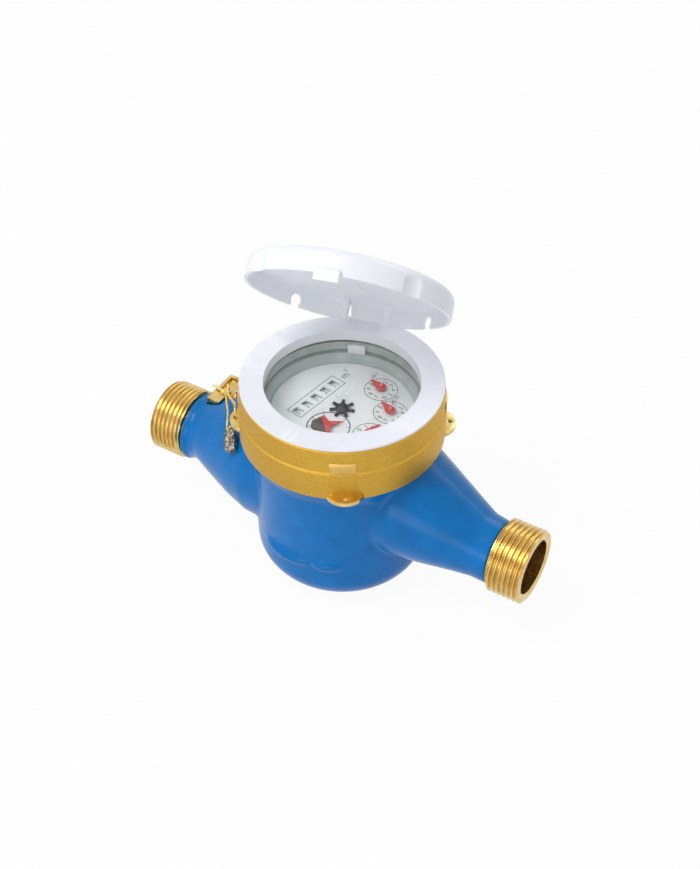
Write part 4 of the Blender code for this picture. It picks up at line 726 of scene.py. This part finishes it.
def makeGasket():
    piece = turned("coverGasket", [(35.4, 87.0), (35.4, 86.0), (33.6, 86.0), (33.6, 87.0)], 160, "joined")
    smoothShade(piece, 40)
    return dress(piece, silicone, "meter_case", "rubber", "glass_gasket")


def makeDial():
    d = dialPlate
    piece = turned("dialPlate", [(d["r"], d["z"]), (d["r"], d["z"] - d["thick"])], 160)
    for k in range(5):
        x, y, _ = onDial(d["row"] + (2 - k) * d["pitch"], d["rowE2"])
        combine(piece, block("window", (d["window"][0], d["window"][1], 4.0), (x, y, d["z"]),
                             (0, 0, math.radians(d["reading"]))), "DIFFERENCE")
    soften(piece, 0.06, 1, 35)
    smoothShade(piece, 40)
    return dress(piece, dialWhite, "meter_case", "dial_white", "dial_plate")


def makeCover():
    cover = turned("clearCover", [(34.6, 92.7), (35.4, 91.9), (35.4, 91.4), (33.8, 90.7)], 160)
    smoothShade(cover, 35)
    dress(cover, clear, "meter_case", "glass", "glass")
    skirt = turned("coverSkirt", [(34.0, 91.2), (35.4, 91.2), (35.4, 87.3), (33.8, 87.3), (33.8, 91.0)], 160,
                   "joined")
    smoothShade(skirt, 35)
    dress(skirt, grey, "meter_case", "grey_plastic")


makeCan()
makeDial()
makeGasket()
makeCover()
makeClips()
print("register made")

# Print: plain scales, figures and a frame, a hair above the plate

printed = {"z": 81.52, "thick": 0.02, "line": 0.3, "ringR": 7.4, "figure": 3.0, "figureR": 5.3, "tick": 0.6,
           "largeAt": (-12.0, -2.4), "largeR": 9.4, "frame": (-0.4, 14.1, 29.3, 7.7)}
# each small dial: centre, its label, the label's place, the pointer's body and heading
smallDials = [((20.8, -4.4), "x0.1", (26.5, 3.8), "pointer_shaft_4", "pointer_4", 164.0),
              ((11.6, -16.9), "x0.01", (19.6, -13.2), "pointer_shaft_3", "pointer_3", 156.0),
              ((-5.0, -19.05), "x0.001", (-12.4, -21.0), "pointer_shaft_2", "pointer_2", 78.0)]


def figure(text, size, e1, e2, lean=0.0):
    deselect()
    bpy.ops.object.text_add()
    piece = bpy.context.object
    piece.data.body = text
    piece.data.size = size * mm
    piece.data.align_x = "CENTER"
    piece.data.align_y = "CENTER"
    piece.data.resolution_u = 4
    piece.data.extrude = printed["thick"] / 2 * mm
    bpy.ops.object.convert(target="MESH")
    piece.location = [c * mm for c in onDial(e1, e2, printed["z"])]
    piece.rotation_euler = (0, 0, math.radians(dialPlate["reading"] + lean))
    settle(piece)
    return piece


def bar(e1, e2, long, wide, lean=0.0):
    return block("line", (long, wide, printed["thick"]), onDial(e1, e2, printed["z"]),
                 (0, 0, math.radians(dialPlate["reading"] + lean)))


def circle(e1, e2, r, line):
    z, half = printed["z"], printed["thick"] / 2
    inner = r - line
    piece = turned("circle", [(r, z + half), (inner, z + half), (inner, z - half), (r, z - half)], 96, "joined")
    piece.location = [c * mm for c in onDial(e1, e2)]
    settle(piece)
    return piece


def makePrint():
    t = printed
    pieces = []
    for (e1, e2), label, (le1, le2), _, _, _ in smallDials:
        pieces.append(circle(e1, e2, t["ringR"], t["line"]))
        pieces.append(figure(label, 2.8, le1, le2, 8.0))
        for k in range(10):
            a = math.radians(90 - 36 * k)
            out = t["ringR"] - t["tick"] / 2
            pieces.append(bar(e1 + out * math.cos(a), e2 + out * math.sin(a), t["tick"], t["line"], 90 - 36 * k))
            at = t["figureR"]
            pieces.append(figure(str(k), t["figure"], e1 + at * math.cos(a), e2 + at * math.sin(a)))
    pieces.append(circle(*t["largeAt"], t["largeR"], 0.55))
    for k in range(10):
        a = math.radians(90 - 36 * k)
        e1, e2 = (t["largeAt"][i] + 8.2 * f(a) for i, f in enumerate((math.cos, math.sin)))
        pieces.append(bar(e1, e2, 1.2, t["line"], 90 - 36 * k))
    e1, e2, wide, high = t["frame"]
    for side in (-1, 1):
        pieces.append(bar(e1, e2 + side * high / 2, wide, t["line"]))
        pieces.append(bar(e1 + side * wide / 2, e2, t["line"], high))
    pieces.append(figure("m", 5.0, 18.0, 13.6))
    pieces.append(figure("3", 2.6, 21.0, 15.6))
    piece = joinUp("dialPrint", pieces)
    return dress(piece, ink, "meter_case", "black_plastic")


makePrint()

# Number drums: a smooth band over each drum, with ten figures round it

drum = {"r": 5.5, "bandR": 5.54, "width": 4.1, "z": 74.4, "e2": 14.0, "figure": 3.3}


def wrapOnDrum(piece, middle):
    # from flat text to the drum's round face: across stays, height goes round
    r = drum["bandR"] * mm + 0.00002
    for v in piece.data.vertices:
        turn = middle + v.co.y / r
        reach = r + v.co.z
        v.co = Vector((v.co.x, reach * math.sin(turn), reach * math.cos(turn)))


def makeDrum(number):
    e1 = dialPlate["row"] + (3 - number) * dialPlate["pitch"]
    place = Matrix.Translation(Vector(onDial(e1, drum["e2"], drum["z"])) * mm) @ \
        Matrix.Rotation(math.radians(dialPlate["reading"]), 4, "Z")
    band = turned("figureBand%d" % number, [(drum["bandR"], 0), (drum["bandR"], drum["width"]),
                                            (drum["r"] - 1.0, drum["width"]), (drum["r"] - 1.0, 0)], 64, "joined")
    band.matrix_world = place @ Matrix.Rotation(math.pi / 2, 4, "Y") @ \
        Matrix.Translation((0, 0, -drum["width"] / 2 * mm))
    settle(band)
    smoothShade(band, 40)
    dress(band, dialWhite, "drum_%d" % number, "dial_white")
    figures = []
    for k in range(10):
        deselect()
        bpy.ops.object.text_add()
        text = bpy.context.object
        text.data.body = str(k)
        text.data.size = drum["figure"] * mm
        text.data.align_x = "CENTER"
        text.data.align_y = "CENTER"
        text.data.extrude = 0.00001
        text.data.resolution_u = 3
        bpy.ops.object.convert(target="MESH")
        wrapOnDrum(text, -k * math.pi / 5)
        figures.append(text)
    marks = joinUp("figures%d" % number, figures)
    marks.matrix_world = place
    settle(marks)
    dress(marks, ink, "drum_%d" % number, "black_plastic")
    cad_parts["number_drum_%d" % number].data.materials.clear()
    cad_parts["number_drum_%d" % number].data.materials.append(dialWhite)


for number in range(1, 6):
    makeDrum(number)
print("dial printed")

# Pointers and flow star

# glintTurn: the heading of the white mark on the hubs, the same on every pointer: painted highlight
pointer = {"z": 82.7, "thick": 0.7, "hubR": 2.3, "long": 6.7, "hubTop": 84.3, "glintTurn": 121.4,
           "largeHeading": 44.0}
star = {"arms": 7, "r": 5.5, "armWidth": 1.35, "hubR": 3.0, "low": 81.8, "high": 82.6, "hubTop": 83.8,
        "heading": 12.7}


def plate(name, outline, low, high):
    # a flat piece from its outline, given thickness by extruding its face
    mesh = bpy.data.meshes.new(name)
    mesh.from_pydata([(x * mm, y * mm, low * mm) for x, y in outline], [], [list(range(len(outline)))])
    piece = bpy.data.objects.new(name, mesh)
    bpy.context.scene.collection.objects.link(piece)
    editAll(piece)
    bpy.ops.mesh.extrude_region_move(TRANSFORM_OT_translate={"value": (0, 0, (high - low) * mm)})
    bpy.ops.object.mode_set(mode="OBJECT")
    tidyMesh(piece)
    return piece


def tearDrop(r, long):
    # round behind, straight flanks that touch the circle, a sharp tip
    touch = math.degrees(math.acos(r / long))
    points = [(long, 0.12), (long, -0.12)]
    for k in range(25):
        a = math.radians(-touch - (360 - 2 * touch) * k / 24)
        points.append((r * math.cos(a), r * math.sin(a)))
    return points


def addHub(piece):
    p = pointer
    hub = turned("hub", [(0.8, p["hubTop"]), (1.3, p["hubTop"] - 0.4), (1.5, p["z"] + 0.3)], 48)
    combine(piece, hub, "UNION")


def makePointer(centre, body, node, heading):
    p = pointer
    piece = plate(node + "Drop", tearDrop(p["hubR"], p["long"]), p["z"], p["z"] + p["thick"])
    addHub(piece)
    soften(piece, 0.18, 3, 40)
    smoothShade(piece, 40)
    # a white mark on the hub's top, turned the same way on every pointer: painted highlight
    paintedGlint = block(node + "PaintedGlint", (1.5, 0.3, 0.06), (0, 0, p["hubTop"] + 0.01))
    for each, turn in ((piece, heading), (paintedGlint, p["glintTurn"])):
        each.rotation_euler = (0, 0, math.radians(turn))
        each.location = [c * mm for c in onDial(*centre)]
        settle(each)
    dress(piece, red, body, "red_plastic", node)
    dress(paintedGlint, dialWhite, body, "dial_white")


for centre, _, _, body, node, heading in smallDials:
    makePointer(centre, body, node, heading)


def makeLargePointer():
    p = pointer
    head = plate("largePointer", [(6.8, 0.0), (0.6, 1.5), (-0.55, 5.6), (-1.9, 5.1), (-1.9, -5.1), (-0.55, -5.6),
                                  (0.6, -1.5)], p["z"], p["z"] + p["thick"])
    tail = plate("largePointerTail", [(-1.9, 5.1), (-6.4, 3.3), (-7.6, 0.0), (-6.4, -3.3), (-1.9, -5.1)], p["z"],
                 p["z"] + p["thick"])
    addHub(head)
    for each in (head, tail):
        soften(each, 0.15, 2, 40)
        smoothShade(each, 40)
        each.rotation_euler = (0, 0, math.radians(p["largeHeading"]))
        each.location = [c * mm for c in onDial(*printed["largeAt"])]
        settle(each)
    dress(head, red, "pointer_shaft_1", "red_plastic", "pointer_1")
    dress(tail, brown, "pointer_shaft_1", "black_plastic")


def makeStar():
    s = star
    piece = turned("flowStar", [(1.2, s["hubTop"]), (2.2, s["hubTop"] - 0.3), (s["hubR"], s["high"]),
                                (s["hubR"], s["low"])], 64)
    for k in range(s["arms"]):
        angle = 360 * k / s["arms"] + s["heading"]
        arm = block("arm", (s["r"], s["armWidth"], s["high"] - s["low"]),
                    polar(s["r"] / 2, angle, (s["low"] + s["high"]) / 2), (0, 0, math.radians(angle)))
        combine(piece, arm, "UNION")
    soften(piece, 0.12, 2, 40)
    smoothShade(piece, 40)
    return dress(piece, black, "centre_spindle", "black_plastic", "star_wheel")


makeLargePointer()
makeStar()
print("pointers placed")

# Regulating screw, its washer, the seal's two strands and the lead

screw = {"at": (-70.4, 10.0), "barAt": (-69.9, 10.4), "bar": (6.6, 19.2, 3.9), "top": 55.0, "washerR": 5.6,
         "washerZ": (50.0, 50.8), "slot": (4.2, 11.5, 1.8), "slotBy": (0.4, 2.2), "holeR": 0.9,
         "hole": (-69.2, 12.2), "shankR": 2.6}


def makeScrew():
    s = screw
    x, y = s["at"]
    bx, by = s["barAt"]
    piece = block("screwBar", s["bar"], (bx, by, s["top"] - s["bar"][2] / 2))
    combine(piece, block("slot", (s["slot"][0], s["slot"][1], 2 * s["slot"][2]),
                         (bx + s["slotBy"][0], by + s["slotBy"][1], s["top"])), "DIFFERENCE")
    combine(piece, peg("sealHole", s["holeR"], 12.0, (*s["hole"], s["top"]), sides=24), "DIFFERENCE")
    combine(piece, peg("shank", s["shankR"], 12.0, (x, y, 45.5), sides=40), "UNION")
    soften(piece, 0.3, 3, 40)
    smoothShade(piece, 40)
    dress(piece, cutBrass, "meter_case", "brass", "regulating_screw")
    low, high = s["washerZ"]
    inner = s["shankR"] + 0.3
    washer = turned("screwWasher", [(s["washerR"], high), (s["washerR"], low), (inner, low), (inner, high)], 64,
                    "joined")
    washer.location = (x * mm, y * mm, 0)
    settle(washer)
    soften(washer, 0.15, 2, 35)
    smoothShade(washer, 40)
    dress(washer, cutBrass, "meter_case", "brass", "screw_washer")


tiedStrand = [(-75.4, 8.9, 55.4), (-73.0, 8.3, 56.1), (-69.8, 7.6, 56.2), (-66.8, 6.4, 56.6), (-63.8, 2.9, 58.2),
              (-60.1, -1.9, 59.9), (-55.5, -7.4, 61.2), (-52.5, -11.6, 61.8), (-50.4, -15.0, 61.4),
              (-49.0, -17.3, 60.8)]
loopStrand = [(-69.2, 12.2, 52.4), (-69.2, 12.1, 55.2), (-68.9, 11.4, 56.9), (-67.4, 9.5, 57.8), (-64.5, 5.2, 59.4),
              (-60.0, 0.0, 62.5), (-55.0, -4.4, 65.2), (-48.8, -11.2, 71.3), (-45.9, -14.6, 75.3),
              (-43.3, -18.0, 76.7), (-41.8, -20.0, 76.6), (-41.5, -20.25, 74.6), (-41.5, -20.25, 70.4),
              (-42.0, -20.2, 68.6), (-43.8, -19.2, 66.6), (-46.2, -18.2, 64.4), (-47.6, -18.0, 62.4),
              (-47.4, -19.3, 61.1)]
twist = {"apart": 0.27, "wireR": 0.29, "pitch": 2.6, "step": 0.35}


def smoothRoute(points, step):
    # an even walk along a smooth curve through the chosen points
    vectors = [Vector(p) for p in points]
    padded = [2 * vectors[0] - vectors[1]] + vectors + [2 * vectors[-1] - vectors[-2]]
    route = []
    for before, start, end, after in zip(padded, padded[1:], padded[2:], padded[3:]):
        count = max(2, round((end - start).length / step))
        for k in range(count):
            t = k / count
            bend = 2 * before - 5 * start + 4 * end - after
            turn = 3 * start - before - 3 * end + after
            route.append((2 * start + (end - before) * t + bend * t**2 + turn * t**3) / 2)
    return route + [vectors[-1]]


def twistedWire(name, points, node):
    # two fine brass wires twisted together along the route
    route = smoothRoute(points, twist["step"])
    strands = []
    for half in (0, 1):
        curve = bpy.data.curves.new(name, "CURVE")
        curve.dimensions = "3D"
        curve.bevel_depth = twist["wireR"] * mm
        curve.bevel_resolution = 3
        curve.use_fill_caps = True
        spline = curve.splines.new("POLY")
        spline.points.add(len(route) - 1)
        walked = 0.0
        side = Vector((0, 0, 1))
        for k, where in enumerate(route):
            ahead = (route[min(k + 1, len(route) - 1)] - route[max(k - 1, 0)]).normalized()
            side = (side - ahead * side.dot(ahead)).normalized()
            walked += (where - route[max(k - 1, 0)]).length
            a = 2 * math.pi * walked / twist["pitch"] + half * math.pi
            off = (side * math.cos(a) + ahead.cross(side) * math.sin(a)) * twist["apart"]
            spline.points[k].co = (*((where + off) * mm), 1.0)
        strand = bpy.data.objects.new(name, curve)
        bpy.context.scene.collection.objects.link(strand)
        pick(strand)
        bpy.ops.object.convert(target="MESH")
        strands.append(strand)
    piece = joinUp(name, strands)
    tidyMesh(piece, 0.001)
    smoothShade(piece, 60)
    return dress(piece, wireBrass, "meter_case", "brass", node)


leadSeal = {"at": (-45.0, -20.9, 58.6), "along": (0.468, -0.668, -0.579), "out": (0.0, -0.816, 0.578),
            "size": (11.0, 6.0, 3.4)}


def makeLead():
    # a slug squeezed flat in pliers: rounded, dented by noise
    deselect()
    bpy.ops.mesh.primitive_uv_sphere_add(segments=64, ring_count=32, radius=0.5)
    piece = bpy.context.object
    piece.name = "crimpedSeal"
    for v in piece.data.vertices:
        shape = [math.copysign(abs(2 * c) ** 0.7, c) / 2 for c in v.co]
        v.co = Vector([c * s * mm for c, s in zip(shape, leadSeal["size"])])
    dents = bpy.data.textures.new("dents", "CLOUDS")
    dents.noise_scale = 1.2 * mm
    dents.noise_depth = 2
    step = piece.modifiers.new("dents", "DISPLACE")
    step.texture = dents
    step.strength = 1.2 * mm
    step.mid_level = 0.55
    applyAll(piece)
    along = Vector(leadSeal["along"]).normalized()
    out = Vector(leadSeal["out"])
    out = (out - along * out.dot(along)).normalized()
    place = Matrix((along, out.cross(along), out)).transposed().to_4x4()
    place.translation = Vector(leadSeal["at"]) * mm
    piece.matrix_world = place
    settle(piece)
    smoothShade(piece, 50)
    return dress(piece, lead, "meter_case", "lead", "lead_seal")


makeScrew()
twistedWire("tiedWire", tiedStrand, "seal_wire")
twistedWire("loopWire", loopStrand, "seal_wire_loop")
makeLead()
print("seal tied")

# Floor, background and light

studio = {"floorSize": 9.0, "floorShare": 0.94}
# each lamp: name, place and size in metres, power
lamps = (("keyLight", (-0.42, -0.58, 1.25), (0.7, 0.7), 9.7), ("fillLight", (0.35, -1.3, 0.3), (1.0, 0.5), 3.6),
         ("backLight", (0.2, 1.1, 0.9), (1.0, 0.5), 3.5))


def seenRay(tree):
    # 1 for rays that see the ground straight, mirrored or through the cover
    path = addNode(tree, "ShaderNodeLightPath")
    mirrored = addNode(tree, "ShaderNodeMath", {"operation": "MAXIMUM"})
    tree.links.new(path.outputs["Is Camera Ray"], mirrored.inputs[0])
    tree.links.new(path.outputs["Is Glossy Ray"], mirrored.inputs[1])
    through = addNode(tree, "ShaderNodeMath", {"operation": "MAXIMUM"})
    tree.links.new(mirrored.outputs[0], through.inputs[0])
    tree.links.new(path.outputs["Is Transmission Ray"], through.inputs[1])
    return through.outputs[0]


def makeFloor():
    deselect()
    bpy.ops.mesh.primitive_plane_add(size=studio["floorSize"], location=(0, 0, -0.0002))
    floor = bpy.context.object
    floor.name = "paleFloor"
    material, tree, shader, _ = newMaterial("paperFloor")
    shader.inputs["Base Color"].default_value = linear("#f0f0f0")
    shader.inputs["Roughness"].default_value = 0.9
    glow = addNode(tree, "ShaderNodeEmission", {"Strength": 1.0})
    share = addNode(tree, "ShaderNodeMath", {"operation": "MULTIPLY"})
    tree.links.new(seenRay(tree), share.inputs[0])
    share.inputs[1].default_value = studio["floorShare"]
    mix = addNode(tree, "ShaderNodeMixShader")
    tree.links.new(share.outputs[0], mix.inputs[0])
    tree.links.new(shader.outputs[0], mix.inputs[1])
    tree.links.new(glow.outputs[0], mix.inputs[2])
    tree.links.new(mix.outputs[0], tree.nodes["Material Output"].inputs["Surface"])
    floor.data.materials.append(material)


def makeWorld():
    world = bpy.data.worlds.new("studio")
    bpy.context.scene.world = world
    world.use_nodes = True
    tree = world.node_tree
    tree.nodes.clear()
    plain = addNode(tree, "ShaderNodeBackground", {"Color": linear("#eef1f6"), "Strength": 0.5})
    seen = addNode(tree, "ShaderNodeBackground", {"Color": (1, 1, 1, 1), "Strength": 1.0})
    mix = addNode(tree, "ShaderNodeMixShader")
    tree.links.new(seenRay(tree), mix.inputs[0])
    tree.links.new(plain.outputs[0], mix.inputs[1])
    tree.links.new(seen.outputs[0], mix.inputs[2])
    out = addNode(tree, "ShaderNodeOutputWorld")
    tree.links.new(mix.outputs[0], out.inputs["Surface"])


def softbox(name, where, size, power, aim=(0, 0, 60)):
    data = bpy.data.lights.new(name, "AREA")
    data.shape = "RECTANGLE"
    data.size, data.size_y = size
    data.energy = power
    lamp = bpy.data.objects.new(name, data)
    bpy.context.scene.collection.objects.link(lamp)
    lamp.location = where
    away = Vector(where) - Vector(aim) * mm
    lamp.rotation_euler = away.to_track_quat("Z", "Y").to_euler()
    return lamp


makeFloor()
makeWorld()
for lampName, place, size, power in lamps:
    softbox(lampName, place, size, power)
bpy.context.scene.view_settings.view_transform = "Standard"
print("studio lit")
